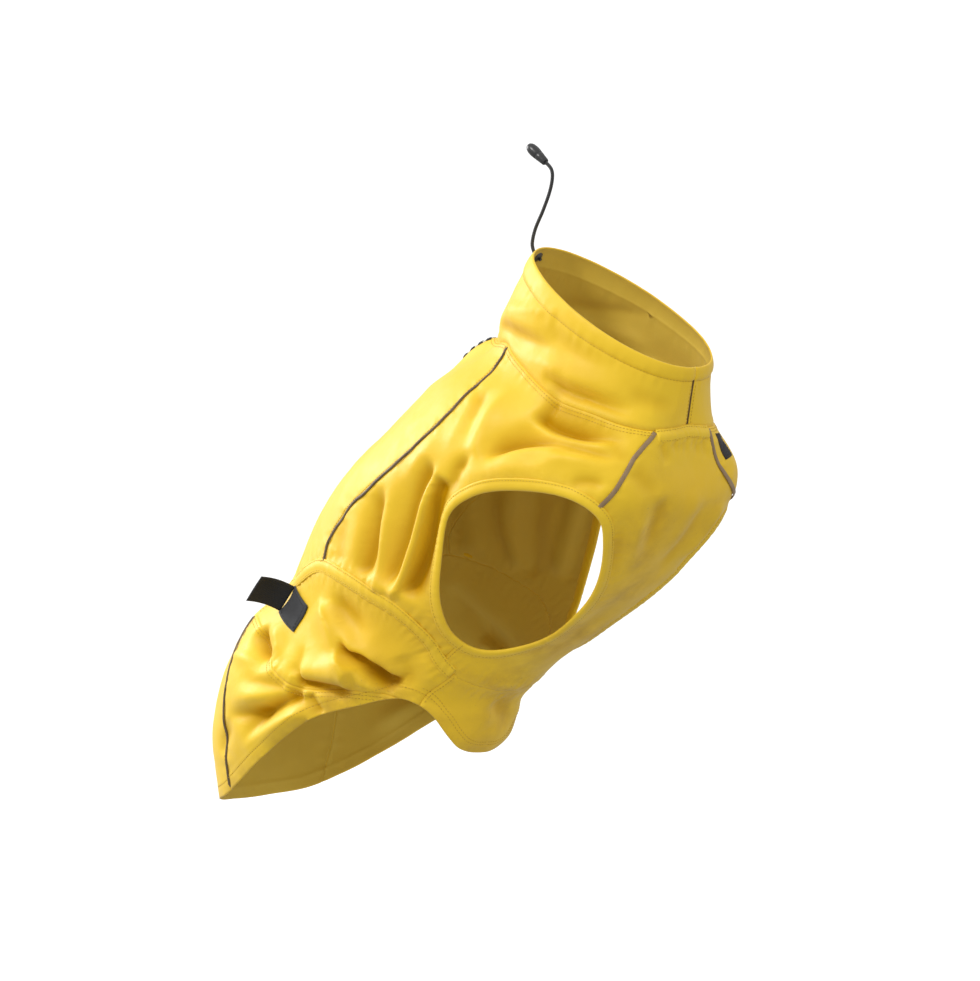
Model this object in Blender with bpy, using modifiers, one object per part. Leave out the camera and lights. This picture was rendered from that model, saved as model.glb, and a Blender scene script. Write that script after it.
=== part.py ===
"""Dog raincoat: a sleeveless coat of thin coated cloth, sewn from shaped panels.

The coat faces -Y, its right side is -X and +Z is up. The origin is the middle
of the back of the collar seam, where the coat hangs from the withers.
Sizes are in millimetres and angles in degrees; meshes are made in metres.
A place on the coat is (t, v): t runs round the body, 0 on the back, 90 on the
right side, 180 on the belly and -90 on the left; v runs from 0 at the collar
to 1 at the hem.
"""
import math
import bpy
import numpy as np
from mathutils import Vector
from mathutils.geometry import delaunay_2d_cdt

NAME = "dog_raincoat"
MM = 0.001

# Driving sizes.
CLOTH = 1.5             # wall of a cloth panel
SEAM_GAP = 0.3          # space left between two pieces along a seam
LAY_GAP = 0.35          # space under a piece that lies on a panel
BAND = 1.0              # wall of a casing or band laid on the panels
TRIM = 0.9              # wall of piping, tape and label
PATCH = 1.4             # wall of the hook-and-loop patch and the slot binding
FLAP_WALL = 1.6         # wall of the tab's free end
FLAP_BEND = 2.0         # how far that end bows out of a plane
FLAP_MARGIN = 0.06      # share of the tab's width left bare on each side of it
CHEST_TOP_DROP = 2.5    # from the collar seam to the casing on the chest
CASING_END, TRIM_END = 2.0, 3.0     # how far casings and trims stop short of a seam
MESH = 14.5             # spacing of the points of a panel
PIPE_BACK = 3.4         # width of the piping on the back and the rump
PIPE_CHEST = 5.0        # width of the tape on the chest seams
ARM_BAND = 10.0         # width of the casing round an armhole
WAIST_BAND = 12.0       # width of the elastic casing at the waist
CHEST_BAND = 11.0       # width of the elastic casing on top of the chest
SLOT_LENGTH = 32.0      # opening for a leash on the middle of the back
SLOT_WIDTH = 3.2
SLOT_BINDING = 3.4      # width of the binding round that opening
SLOT_TOP = 5.0          # from the collar seam to the binding
FLAP_LENGTH = 29.0      # free end of the waist tab, standing off the coat
FLAP_SWAY = 5.0         # how far that end leans towards the hem
CORD_WIDTH = 3.2
BELL_LENGTH = 24.0
BELL_WIDTH = 9.6
BELL_BORE = 6.0         # depth of the hole that takes the cord
BELL_WAIST = 1.5        # bare cord between its last bend and the bell
CORD_GAP = 0.35         # space between the cord and what it runs through
EYELET_HOLE = CORD_WIDTH + 2 * CORD_GAP
EYELET_RIM = 3.4
EYELET_T, EYELET_H = 0.0, 0.90
DEG_MM = 1.85           # pattern width of one degree round the body
LONG_MM = 520.0         # pattern length from collar to hem
COLLAR_DEG_MM = 1.3
COLLAR_MM = 78.0
SLOT_DEG_MM = 1.3       # the same two lengths at the opening on the back
SLOT_LONG_MM = 600.0
EYELET_DEG_MM = 0.95    # and at the eyelet on the collar
EYELET_LONG_MM = 110.0

# Sections of the body: f is forward, z is up, w is half the width, egg makes
# a section wider towards the belly and box makes its belly side squarer.
#    v     back_f  back_z  front_f front_z    w     egg   box
BODY = (
    (-0.06,   21.1,   19.7,  185.3,  -39.4,  60.0, 0.20, 0.15),
    (0.00,     0.0,    0.0,  205.3,  -61.5,  63.5, 0.20, 0.25),
    (0.10,   -49.9,  -27.8,  207.7,  -91.2,  84.8, 0.12, 0.43),
    (0.20,   -92.0,  -62.9,  207.7, -126.1, 101.7, 0.09, 0.42),
    (0.30,  -142.0, -103.5,  181.8, -165.2, 105.0, 0.06, 0.42),
    (0.40,  -177.8, -145.2,  143.6, -207.0, 102.0, 0.04, 0.25),
    (0.50,  -200.6, -184.5,   94.2, -242.0,  98.0, 0.02, 0.08),
    (0.58,  -219.4, -216.1,   47.2, -271.4,  90.0, 0.00, 0.00),
    (0.64,  -250.1, -236.2,   25.5, -288.6,  92.0, 0.00, 0.00),
    (0.70,  -266.4, -255.7,    3.9, -302.3,  98.0, 0.00, 0.00),
    (0.80,  -287.4, -294.1,   -6.7, -320.7, 102.0, 0.02, 0.00),
    (0.90,  -301.3, -344.1,  -12.2, -336.3,  96.0, 0.04, 0.00),
    (1.00,  -298.8, -403.7,  -23.9, -350.4,  80.0, 0.04, 0.00),
)
# Sections of the standing collar, from its seam (h 0) to its top edge (h 1).
#    h     back_f  back_z  front_f front_z    w     egg   box
COLLAR = (
    (0.00,    0.0,    0.0,  205.3,  -61.5,  63.5, 0.20, 0.25),
    (0.30,   11.0,   25.0,  207.5,  -49.0,  64.0, 0.16, 0.18),
    (0.65,   26.5,   52.5,  210.5,  -33.0,  62.0, 0.12, 0.10),
    (1.00,   48.0,   82.0,  215.0,  -12.5,  59.0, 0.10, 0.05),
)
# Lines that run round the coat, the same on both sides: t, v.
COLLAR_SEAM = ((0, 0.0), (25, -0.016), (46.5, -0.033), (57.5, -0.025), (73, -0.013),
               (84.5, 0.0), (98, 0.014), (119, 0.011), (146.5, 0.016), (165, 0.008),
               (180, 0.0))
WAIST_SEAM = ((0, 0.600), (20, 0.583), (30, 0.568), (41, 0.540), (48, 0.511),
              (55, 0.487), (60, 0.483), (65, 0.484), (77, 0.492), (87, 0.503),
              (97, 0.514), (110, 0.540), (120, 0.565), (130, 0.600),
              (140, 0.630), (150, 0.650), (165, 0.665), (180, 0.670))
HIP_SEAM = ((27, 0.645), (35, 0.643), (47, 0.650), (65, 0.690), (75, 0.730),
            (87, 0.757), (95, 0.755), (103, 0.743), (112, 0.730), (120, 0.723),
            (131, 0.732))
HEM = ((0, 1.0), (24, 1.0), (50, 0.993), (68, 0.963), (81, 0.925), (91, 0.883),
       (99, 0.843), (107, 0.812), (117, 0.777), (124, 0.748), (131, 0.732),
       (138, 0.742), (144, 0.768), (150, 0.815), (156, 0.890), (162, 0.950),
       (169, 0.985), (180, 1.0))
# Seams that run along the coat, given for the right side: t, v.
BACK_SEAM = ((46.5, -0.033), (50.5, 0.002), (56, 0.035), (60, 0.068), (63.5, 0.130),
             (62.5, 0.191), (61.5, 0.246), (59.5, 0.300), (55, 0.359), (53.5, 0.408),
             (53.5, 0.431), (58, 0.484))
RUMP_SEAM = ((20, 0.583), (24, 0.620), (27, 0.645), (33.5, 0.688), (39, 0.728),
             (44.5, 0.782), (48.5, 0.833), (51, 0.880), (51.5, 0.925), (50, 0.993))
# The chest panel is pulled a little to the right, so its two seams differ.
CHEST_SEAMS = {
    "right": ((153, 0.014), (149.5, 0.042), (146.5, 0.073), (142.5, 0.135),
              (138.5, 0.205), (136.3, 0.231)),
    "left": ((160.5, 0.009), (160, 0.073), (157, 0.127), (150, 0.182), (136.3, 0.231)),
}
# Armhole, from the end of the chest seam round the front and the bottom to the
# underarm seam, and back over the rear and the top: t, v.
ARM_FRONT = ((136.3, 0.231), (139.5, 0.243), (144.5, 0.283), (149, 0.322), (154.5, 0.374),
             (158.5, 0.421), (161, 0.468), (162, 0.502), (159, 0.527), (153.5, 0.542),
             (147.5, 0.555), (139.5, 0.560), (130, 0.549))
ARM_REAR = ((130, 0.549), (124.5, 0.537), (113.5, 0.490), (105.5, 0.431), (102, 0.396),
            (96, 0.334), (94.5, 0.315), (94.5, 0.290), (97, 0.265), (100.5, 0.247),
            (105, 0.235), (114.5, 0.219), (123.5, 0.211), (132.5, 0.220), (136.3, 0.231))
# Where the lines round the coat meet the seams along it.
NECK_SPLIT = {"right": (46.5, 153), "left": (46.5, 160.5)}
WAIST_SPLIT = (20, 58, 130, 140)
HEM_SPLIT = (50, 131, 140)
TAB_PATCH = ((42.0, 0.552), (61.0, 0.572), (69.0, 0.630), (48.5, 0.610))
LABEL = ((-154.5, 0.034), (-147.0, 0.040), (-145.5, 0.108), (-152.0, 0.112))
# Free end of the collar's drawcord in the middle plane: forward, up.
CORD = ((34.5, 85.0), (38.0, 98.0), (46.0, 113.0), (53.0, 128.0), (56.5, 140.0),
        (56.0, 148.5), (50.5, 154.0))
CORD_INSIDE, CORD_OUTSIDE = 3.0, 5.0    # how far it runs straight through its eyelet
BELL_AXIS = (-0.81, 0.586)     # forward and up, from the cord outwards

# Main folds: three places (t, v) from end to end, height in mm (a trough is
# below 0), and the reach in mm on its two sides.
#   t0     v0      t1     v1      t2     v2    rise  side_a side_b
FOLDS = (
    (60.0, 0.320,  72.0, 0.395,  83.0, 0.472,  -5.5,  11.0,  9.0),
    (71.0, 0.250,  80.0, 0.365,  89.0, 0.470,  -6.5,  13.0, 10.0),
    (84.0, 0.285,  92.0, 0.385, 103.0, 0.480,  -7.0,  12.0,  9.0),
    (92.0, 0.180, 107.0, 0.080, 144.0, 0.045,  -5.5,  12.0, 12.0),
    (91.0, 0.236, 103.0, 0.190, 122.0, 0.165,   5.0,  13.0, 10.0),
    (-151.0, 0.085, -144.0, 0.140, -146.0, 0.215, 5.5, 20.0, 20.0),
    (70.0, 0.545,  86.0, 0.590, 116.0, 0.655,   8.0,  20.0,  8.0),
    (93.0, 0.690, 107.0, 0.672, 124.0, 0.690,   7.0,  20.0,  8.0),
    (48.0, 0.668,  62.0, 0.700,  70.0, 0.745,  -6.0,  13.0, 11.0),
    (89.0, 0.775,  80.0, 0.850,  70.0, 0.930,  -5.0,  13.0, 13.0),
    (-58.0, 0.300, -70.0, 0.395, -84.0, 0.468, -6.0,  12.0, 10.0),
    (-76.0, 0.250, -84.0, 0.370, -98.0, 0.470, -6.5,  11.0, 12.0),
    (-92.0, 0.185, -112.0, 0.085, -140.0, 0.070, -5.0, 13.0, 11.0),
    (-88.0, 0.240, -102.0, 0.195, -122.0, 0.170, 4.5,  12.0, 12.0),
    (-66.0, 0.550, -88.0, 0.600, -118.0, 0.650,  7.0,  9.0, 20.0),
    (-50.0, 0.672, -64.0, 0.705, -76.0, 0.760,  -5.5,  13.0, 12.0),
    (-92.0, 0.790, -78.0, 0.860, -66.0, 0.925,  -4.5,  13.0, 13.0),
    (-12.0, 0.640,   2.0, 0.700,  10.0, 0.780,  -5.0,  16.0, 14.0),
    (0.0, -0.015,   0.0, 0.035,   0.0, 0.090,    9.0,  13.0, 13.0),
)
# Folds of the collar, in (t, h).
FOLD_REACH = 2.6        # reaches over which a fold is worked out
COLLAR_FADE = 0.15      # height over which the collar's folds grow from its seam
COLLAR_FOLDS = (
    (16.0, 0.22,  44.0, 0.34,  84.0, 0.70,   4.5,  11.0, 10.0),
    (30.0, 0.10,  62.0, 0.26, 100.0, 0.58,  -4.0,   9.0,  9.0),
    (88.0, 0.16, 118.0, 0.20, 150.0, 0.34,  -4.5,  10.0,  9.0),
    (-20.0, 0.30, -52.0, 0.36, -92.0, 0.62,  4.0,  12.0, 10.0),
    (-80.0, 0.14, -112.0, 0.24, -150.0, 0.30, -4.0, 10.0, 9.0),
)

COLOURS = {
    "cloth": (0.86, 0.62, 0.03), "band": (0.83, 0.60, 0.04), "pipe": (0.20, 0.17, 0.14),
    "tape": (0.36, 0.31, 0.26), "hook": (0.012, 0.012, 0.013), "loop": (0.045, 0.045, 0.05),
    "label": (0.02, 0.02, 0.022), "cord": (0.015, 0.015, 0.016), "eyelet": (0.06, 0.06, 0.062),
}
ROUGHNESS = {
    "cloth": 0.42, "band": 0.45, "pipe": 0.55, "tape": 0.5, "hook": 0.8, "loop": 0.9,
    "label": 0.7, "cord": 0.8, "eyelet": 0.4,
}


# ---- curves and surfaces ----

def spline(xs, ys, x):
    """Smooth curve through (xs, ys), read at x."""
    xs, ys, x = np.asarray(xs, float), np.asarray(ys, float), np.asarray(x, float)
    step, rise = np.diff(xs), np.diff(ys) / np.diff(xs)
    slope = np.empty_like(ys)
    slope[1:-1] = (rise[:-1] * step[1:] + rise[1:] * step[:-1]) / (xs[2:] - xs[:-2])
    slope[0] = 1.5 * rise[0] - 0.5 * slope[1]
    slope[-1] = 1.5 * rise[-1] - 0.5 * slope[-2]
    i = np.clip(np.searchsorted(xs, x) - 1, 0, len(xs) - 2)
    h = step[i]
    s = (x - xs[i]) / h
    return ((2 * s ** 3 - 3 * s ** 2 + 1) * ys[i] + (s ** 3 - 2 * s ** 2 + s) * h * slope[i]
            + (3 * s ** 2 - 2 * s ** 3) * ys[i + 1] + (s ** 3 - s ** 2) * h * slope[i + 1])


def round_line(table, t):
    """v of a line that runs round the coat, the same on both sides."""
    folded = np.abs((np.asarray(t, float) + 180.0) % 360.0 - 180.0)
    xs, ys = zip(*table)
    return spline(xs, ys, folded)


def section(table, a, t):
    """Points of the plain egg-shaped sections at a, in the coat's frame."""
    cols = list(zip(*table))
    back_f, back_z, front_f, front_z, wide, egg, box = (spline(cols[0], c, a) for c in cols[1:])
    c, s = np.cos(np.radians(t)), np.sin(np.radians(t))
    power = 2 / (1 - box * (1 - c) / 2)
    grow = (np.abs(s) ** power + np.abs(c) ** power) ** (-1 / power)
    c, s = c * grow, s * grow
    mid_f, mid_z = (back_f + front_f) / 2, (back_z + front_z) / 2
    return np.stack([-wide * s * (1 - egg * c), -(mid_f + (back_f - mid_f) * c),
                     mid_z + (back_z - mid_z) * c], -1)


def body_base(t, v):
    return section(BODY, v, t)


def collar_base(t, h):
    """The collar starts exactly on the collar seam of the body."""
    seam = body_base(t, round_line(COLLAR_SEAM, t)) - section(COLLAR, np.zeros_like(t), t)
    return section(COLLAR, h, t) + seam * ((1 - h) ** 2)[..., None]


def normals(surface, t, a, dt=0.05, da=1e-4):
    """Outward unit normals of a surface of (t, a)."""
    along = surface(t, a + da) - surface(t, a - da)
    around = surface(t + dt, a) - surface(t - dt, a)
    n = np.cross(along, around)
    return n / np.linalg.norm(n, axis=-1, keepdims=True)


BODY_SIGN = np.sign(normals(body_base, np.array([90.0]), np.array([0.4]))[0, 0]) * -1
COLLAR_SIGN = np.sign(normals(collar_base, np.array([90.0]), np.array([0.4]))[0, 0]) * -1


def centre_line(base, row, count=13):
    """Points along a fold."""
    s = np.linspace(0, 1, count)
    t = spline((0, 0.5, 1), row[0:6:2], s)
    a = spline((0, 0.5, 1), row[1:6:2], s)
    return base(t, a)


def relief(base, sign, rows, t, a):
    """Height of the folds at (t, a)."""
    at, n = base(t, a), normals(base, t, a) * sign
    height = np.zeros(len(at))
    for row in rows:
        line = centre_line(base, row)
        rise, side_a, side_b = row[6:9]
        reach = FOLD_REACH * max(side_a, side_b)
        near = np.all((at > line.min(0) - reach) & (at < line.max(0) + reach), axis=1)
        if not near.any():
            continue
        p, up = at[near], n[near]
        start, way = line[:-1], np.diff(line, axis=0)
        gap = p[:, None] - start
        share = np.clip((gap * way).sum(-1) / (way ** 2).sum(-1), 0, 1)
        off = gap - share[..., None] * way
        far = np.linalg.norm(off, axis=-1)
        best = far.argmin(1)
        pick = np.arange(len(p))
        place = (best + share[pick, best]) / len(way)
        side = (np.cross(way[best], up) * off[pick, best]).sum(-1)
        wide = np.where(side > 0, side_a, side_b)
        taper = np.sin(np.pi * np.clip(place, 0, 1)) ** 0.8
        height[near] += rise * np.exp(-(far[pick, best] / wide) ** 2) * taper
    return height


def body(t, v):
    n = normals(body_base, t, v) * BODY_SIGN
    return body_base(t, v) + n * relief(body_base, BODY_SIGN, FOLDS, t, v)[:, None]


def collar(t, h):
    """The folds die out at the seam, so the collar meets the body there."""
    n = normals(collar_base, t, h) * COLLAR_SIGN
    rise = relief(collar_base, COLLAR_SIGN, COLLAR_FOLDS, t, h)
    seam_v = round_line(COLLAR_SEAM, t)
    start = body(t, seam_v) - body_base(t, seam_v)
    fade = np.clip(h / COLLAR_FADE, 0, 1)[:, None]
    return collar_base(t, h) + n * rise[:, None] * fade + start * (1 - h)[:, None] ** 2


# ---- pattern lines ----

def resample(points, step, scale):
    """Points spread evenly, at most a step apart, along a line of (t, a)."""
    points = np.asarray(points, float)
    xy = points * scale
    s = np.concatenate([[0], np.cumsum(np.linalg.norm(np.diff(xy, axis=0), axis=1))])
    count = max(2, int(math.ceil(s[-1] / step)) + 1)
    at = np.linspace(0, s[-1], count)
    return np.stack([np.interp(at, s, points[:, 0]), np.interp(at, s, points[:, 1])], 1)


def smooth_line(table, step, scale):
    """A smooth line through the rows of a table, resampled."""
    table = np.asarray(table, float)
    s = np.concatenate([[0], np.cumsum(np.linalg.norm(np.diff(table * scale, axis=0), axis=1))])
    fine = np.linspace(0, s[-1], 400)
    line = np.stack([spline(s, table[:, 0], fine), spline(s, table[:, 1], fine)], 1)
    line[0], line[-1] = table[0], table[-1]
    return resample(line, step, scale)


def ring_part(table, t0, t1, step, scale):
    """Part of a line round the coat, from t0 to t1."""
    t = np.linspace(t0, t1, 120)
    return resample(np.stack([t, round_line(table, t)], 1), step, scale)


def offset_line(line, far):
    """The line moved sideways on the body by far mm."""
    t, a = line[:, 0], line[:, 1]
    dt, da = 0.05, 1e-4
    across = (body_base(t + dt, a) - body_base(t - dt, a)) / (2 * dt)
    along = (body_base(t, a + da) - body_base(t, a - da)) / (2 * da)
    step = np.gradient(line, axis=0)
    way = across * step[:, :1] + along * step[:, 1:]
    side = np.cross(normals(body_base, t, a), way)
    side *= (far / np.linalg.norm(side, axis=1))[:, None]
    g11, g12, g22 = (across ** 2).sum(1), (across * along).sum(1), (along ** 2).sum(1)
    b1, b2 = (side * across).sum(1), (side * along).sum(1)
    det = g11 * g22 - g12 ** 2
    return line + np.stack([(g22 * b1 - g12 * b2) / det, (g11 * b2 - g12 * b1) / det], 1)


def inside(points, polygon):
    """True for the points inside a closed polygon."""
    x, y = points[:, 0][:, None], points[:, 1][:, None]
    x0, y0 = polygon[:, 0], polygon[:, 1]
    x1, y1 = np.roll(x0, -1), np.roll(y0, -1)
    cross = (y0 > y) != (y1 > y)
    with np.errstate(divide="ignore", invalid="ignore"):
        at = x0 + (y - y0) * (x1 - x0) / (y1 - y0)
    return (np.sum(cross & (x < at), axis=1) % 2) == 1


def away_from(points, lines, far):
    keep = np.ones(len(points), bool)
    for line in lines:
        for p, q in zip(line[:-1], line[1:]):
            d = q - p
            s = np.clip(((points - p) @ d) / max(d @ d, 1e-12), 0, 1)
            keep &= np.linalg.norm(points - p - s[:, None] * d, axis=1) > far
    return keep


def triangulate(outline, holes, lines, step, scale):
    """Triangles over a closed outline that keep to all the given lines.
    Returns places (t, a) and faces."""
    loops = [outline * scale] + [h * scale for h in holes]
    open_lines = [l * scale for l in lines]
    lo, hi = loops[0].min(0), loops[0].max(0)
    rows = int((hi[1] - lo[1]) / (step * 0.866)) + 1
    grid = []
    for r in range(rows + 1):
        y = lo[1] + (r + 0.5) * step * 0.866
        x = np.arange(lo[0] + (0.25 if r % 2 else 0.75) * step, hi[0], step)
        grid.append(np.stack([x, np.full(len(x), y)], 1))
    grid = np.concatenate(grid)
    grid = grid[inside(grid, loops[0])]
    for hole in loops[1:]:
        grid = grid[~inside(grid, hole)]
    closed = [np.concatenate([l, l[:1]]) for l in loops]
    grid = grid[away_from(grid, closed + open_lines, 0.55 * step)]
    points, edges = [], []
    for line, is_loop in [(l, True) for l in loops] + [(l, False) for l in open_lines]:
        start = len(points)
        points.extend(line)
        edges += [(start + i, start + i + 1) for i in range(len(line) - 1)]
        if is_loop:
            edges.append((start + len(line) - 1, start))
    points.extend(grid)
    out = delaunay_2d_cdt([Vector((float(p[0]), float(p[1]))) for p in points],
                          edges, [], 0, 0.02)
    xy = np.array([(p.x, p.y) for p in out[0]])
    faces = np.array([f for f in out[2]])
    mid = xy[faces].mean(1)
    keep = inside(mid, loops[0])
    for hole in loops[1:]:
        keep &= ~inside(mid, hole)
    a, b, c = xy[faces[:, 0]], xy[faces[:, 1]], xy[faces[:, 2]]
    area = (b[:, 0] - a[:, 0]) * (c[:, 1] - a[:, 1]) - (b[:, 1] - a[:, 1]) * (c[:, 0] - a[:, 0])
    return xy / scale, faces[keep & (np.abs(area) > 1e-4)]


# ---- solids ----

def link(name, data, key):
    """An object of its own for a mesh or curve, with its own material."""
    mat = bpy.data.materials.new("mat_" + name)
    mat.use_nodes = True
    shader = mat.node_tree.nodes["Principled BSDF"]
    shader.inputs["Base Color"].default_value = (*COLOURS[key], 1)
    shader.inputs["Roughness"].default_value = ROUGHNESS[key]
    mat.diffuse_color = (*COLOURS[key], 1)
    data.materials.append(mat)
    obj = bpy.data.objects.new(name, data)
    COLLECTION.objects.link(obj)
    return obj


def add_object(name, points, faces, key):
    mesh = bpy.data.meshes.new(name)
    mesh.from_pydata([tuple(p) for p in np.asarray(points) * MM], [],
                     [tuple(int(i) for i in f) for f in faces])
    mesh.update()
    return link(name, mesh, key)


def edge_loops(faces):
    """Closed loops of the boundary edges of triangles, in face order."""
    seen = {}
    for f in faces:
        for i in range(3):
            seen[(f[i], f[(i + 1) % 3])] = True
    ahead = {}
    for a, b in seen:
        if (b, a) not in seen:
            ahead.setdefault(a, []).append(b)
    loops = []
    while ahead:
        start = min(ahead)
        loop, at = [start], ahead[start].pop()
        if not ahead[start]:
            del ahead[start]
        while at != start:
            loop.append(at)
            nxt = ahead[at].pop()
            if not ahead[at]:
                del ahead[at]
            at = nxt
        loops.append(loop)
    return loops


def wall(name, points, ups, faces, low, high, inset, key):
    """A closed wall on the given faces, from low to high mm along the normals,
    with its rim drawn in by inset. Neighbours share the normals of their seam,
    so their rims stay parallel."""
    used = np.unique(faces)
    at = {int(g): i for i, g in enumerate(used)}
    p, n = points[used].copy(), ups[used]
    tri = np.array([[at[int(i)] for i in f] for f in faces])
    a, b, c = p[tri[0]]
    if np.dot(np.cross(b - a, c - a), n[tri[0, 0]]) < 0:
        tri = tri[:, ::-1]
    loops = edge_loops(tri.tolist())
    moved = p.copy()
    for loop in loops:
        here = p[loop]
        back, front = here - np.roll(here, 1, 0), np.roll(here, -1, 0) - here
        back /= np.linalg.norm(back, axis=1, keepdims=True)
        front /= np.linalg.norm(front, axis=1, keepdims=True)
        up = n[loop]
        in_a, in_b = np.cross(up, back), np.cross(up, front)
        in_a /= np.linalg.norm(in_a, axis=1, keepdims=True)
        in_b /= np.linalg.norm(in_b, axis=1, keepdims=True)
        mitre = (in_a + in_b) / np.maximum(1 + (in_a * in_b).sum(1), 0.12)[:, None]
        moved[loop] += mitre * inset
    count = len(moved)
    verts = np.concatenate([moved + n * high, moved + n * low])
    out = [tuple(f) for f in tri] + [tuple(f[::-1] + count) for f in tri]
    for loop in loops:
        for i, j in zip(loop, loop[1:] + loop[:1]):
            out += [(j, i, i + count), (j, i + count, j + count)]
    return add_object(name, verts, out, key)


# ---- build ----

for old in list(bpy.data.objects):
    bpy.data.objects.remove(old, do_unlink=True)
COLLECTION = bpy.data.collections.new(NAME)
bpy.context.scene.collection.children.link(COLLECTION)

SCALE = np.array([DEG_MM, LONG_MM])
COLLAR_SCALE = np.array([COLLAR_DEG_MM, COLLAR_MM])
SIDES = ("right", "left")


def seam_lines(side):
    """The seam lines of one side, drawn on the right, each made once for all
    its pieces."""
    lines = {
        "back": smooth_line(BACK_SEAM, MESH, SCALE),
        "chest": smooth_line(CHEST_SEAMS[side], MESH, SCALE),
        "rump_top": smooth_line(RUMP_SEAM[:3], MESH, SCALE),
        "rump": smooth_line(RUMP_SEAM[2:], MESH, SCALE),
        "arm_front": smooth_line(ARM_FRONT, MESH * 0.8, SCALE),
        "arm_rear": smooth_line(ARM_REAR, MESH * 0.8, SCALE),
    }
    for name, table, split in (("neck", COLLAR_SEAM, NECK_SPLIT[side]),
                               ("waist", WAIST_SEAM, WAIST_SPLIT), ("hem", HEM, HEM_SPLIT)):
        stops = (0,) + split + (180,)
        for i, (t0, t1) in enumerate(zip(stops[:-1], stops[1:])):
            lines["%s_%d" % (name, i)] = ring_part(table, t0, t1, MESH, SCALE)
    lines["back"][0], lines["back"][-1] = lines["neck_0"][-1], lines["waist_1"][-1]
    lines["chest"][0], lines["chest"][-1] = lines["neck_1"][-1], lines["arm_front"][0]
    lines["rump_top"][0] = lines["waist_0"][-1]
    lines["rump"][0], lines["rump"][-1] = lines["rump_top"][-1], lines["hem_0"][-1]
    t = np.linspace(HIP_SEAM[0][0], HIP_SEAM[-1][0], 90)
    hip = np.stack([t, spline(*zip(*HIP_SEAM), t)], 1)
    hip[0], hip[-1] = lines["rump"][0], lines["hem_1"][-1]
    lines["hip"] = resample(hip, MESH, SCALE)
    lines["underarm"] = resample([lines["arm_rear"][0], lines["waist_2"][-1]], MESH, SCALE)
    lines["belly"] = resample([lines["waist_3"][-1], lines["hem_2"][-1]], MESH, SCALE)
    return lines


R = seam_lines("right")
LEFT = {k: line * (-1, 1) for k, line in seam_lines("left").items()}
FAR = {k: line + (360, 0) for k, line in LEFT.items()}           # left side past 180


def chain(*parts):
    """One closed outline from lines laid end to end; "-" runs one backwards."""
    out = []
    for lines, names in parts:
        for name in names.split():
            line = lines[name.lstrip("-")]
            out.append(line[::-1][:-1] if name.startswith("-") else line[:-1])
    return np.concatenate(out)


PANELS = {
    "back_panel": chain((LEFT, "-neck_0"), (R, "neck_0 back -waist_1 -waist_0"),
                        (LEFT, "waist_0 waist_1 -back")),
    "chest_panel": chain((R, "neck_2"), (FAR, "-neck_2 chest arm_front underarm waist_3 waist_4"),
                         (R, "-waist_4 -waist_3 -underarm -arm_front -chest")),
    "rump_panel": chain((LEFT, "-waist_0"), (R, "waist_0 rump_top rump -hem_0"),
                        (LEFT, "hem_0 -rump -rump_top")),
    "belly_flap": chain((R, "waist_4"), (FAR, "-waist_4 belly hem_3"), (R, "-hem_3 -belly")),
}
for side, lines in zip(SIDES, (R, LEFT)):
    PANELS["side_panel_" + side] = chain(
        (lines, "neck_1 chest -arm_rear underarm -waist_2 -back"))
    PANELS["hip_panel_" + side] = chain(
        (lines, "waist_1 waist_2 waist_3 belly -hem_2 -hip -rump_top"))
    PANELS["thigh_panel_" + side] = chain((lines, "rump hem_1 -hip"))


def area(outline):
    x, y = outline[:, 0], outline[:, 1]
    return abs(np.sum(x * np.roll(y, -1) - y * np.roll(x, -1))) / 2


def oval(grow):
    """The rounded opening in the middle of the back, grown by some mm."""
    ang = np.linspace(0, 2 * math.pi, 17)[:-1]
    x = (SLOT_WIDTH / 2 + grow) * np.sign(np.sin(ang)) * np.abs(np.sin(ang)) ** 0.6
    y = (SLOT_LENGTH / 2 + grow) * np.sign(np.cos(ang)) * np.abs(np.cos(ang)) ** 0.8
    y += SLOT_TOP + SLOT_BINDING + SLOT_LENGTH / 2
    return np.stack([x / SLOT_DEG_MM, y / SLOT_LONG_MM], 1)


def disc(radius):
    """A round outline on the back of the collar."""
    ang = np.linspace(0, 2 * math.pi, 15)[:-1]
    return np.stack([EYELET_T + radius * np.sin(ang) / EYELET_DEG_MM,
                     EYELET_H + radius * np.cos(ang) / EYELET_LONG_MM], 1)


def corners(rows):
    """A four-sided outline, its sides resampled."""
    rows = list(rows)
    return np.concatenate([resample([p, q], MESH, SCALE)[:-1]
                           for p, q in zip(rows, rows[1:] + rows[:1])])


def strip(line, wide, cut):
    """Outline of a strip on a line, its ends drawn in by cut mm."""
    line = line.copy()
    for i, j in ((0, 1), (-1, -2)):
        step = (line[j] - line[i]) * SCALE
        line[i] = line[i] + (line[j] - line[i]) * cut / np.linalg.norm(step)
    return np.concatenate([offset_line(line, wide / 2), offset_line(line, -wide / 2)[::-1]])


def grown_ring(ring, far):
    """A closed ring moved outwards on the body."""
    looped = np.concatenate([ring[-2:], ring, ring[:2]])
    moved = [offset_line(looped, d)[2:-2] for d in (far, -far)]
    return max(moved, key=area)


def below(line, far):
    """The line and its copy moved far mm towards the hem, as one outline."""
    moved = max((offset_line(line, far), offset_line(line, -far)), key=lambda m: m[:, 1].sum())
    return np.concatenate([line, moved[::-1]])


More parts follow.
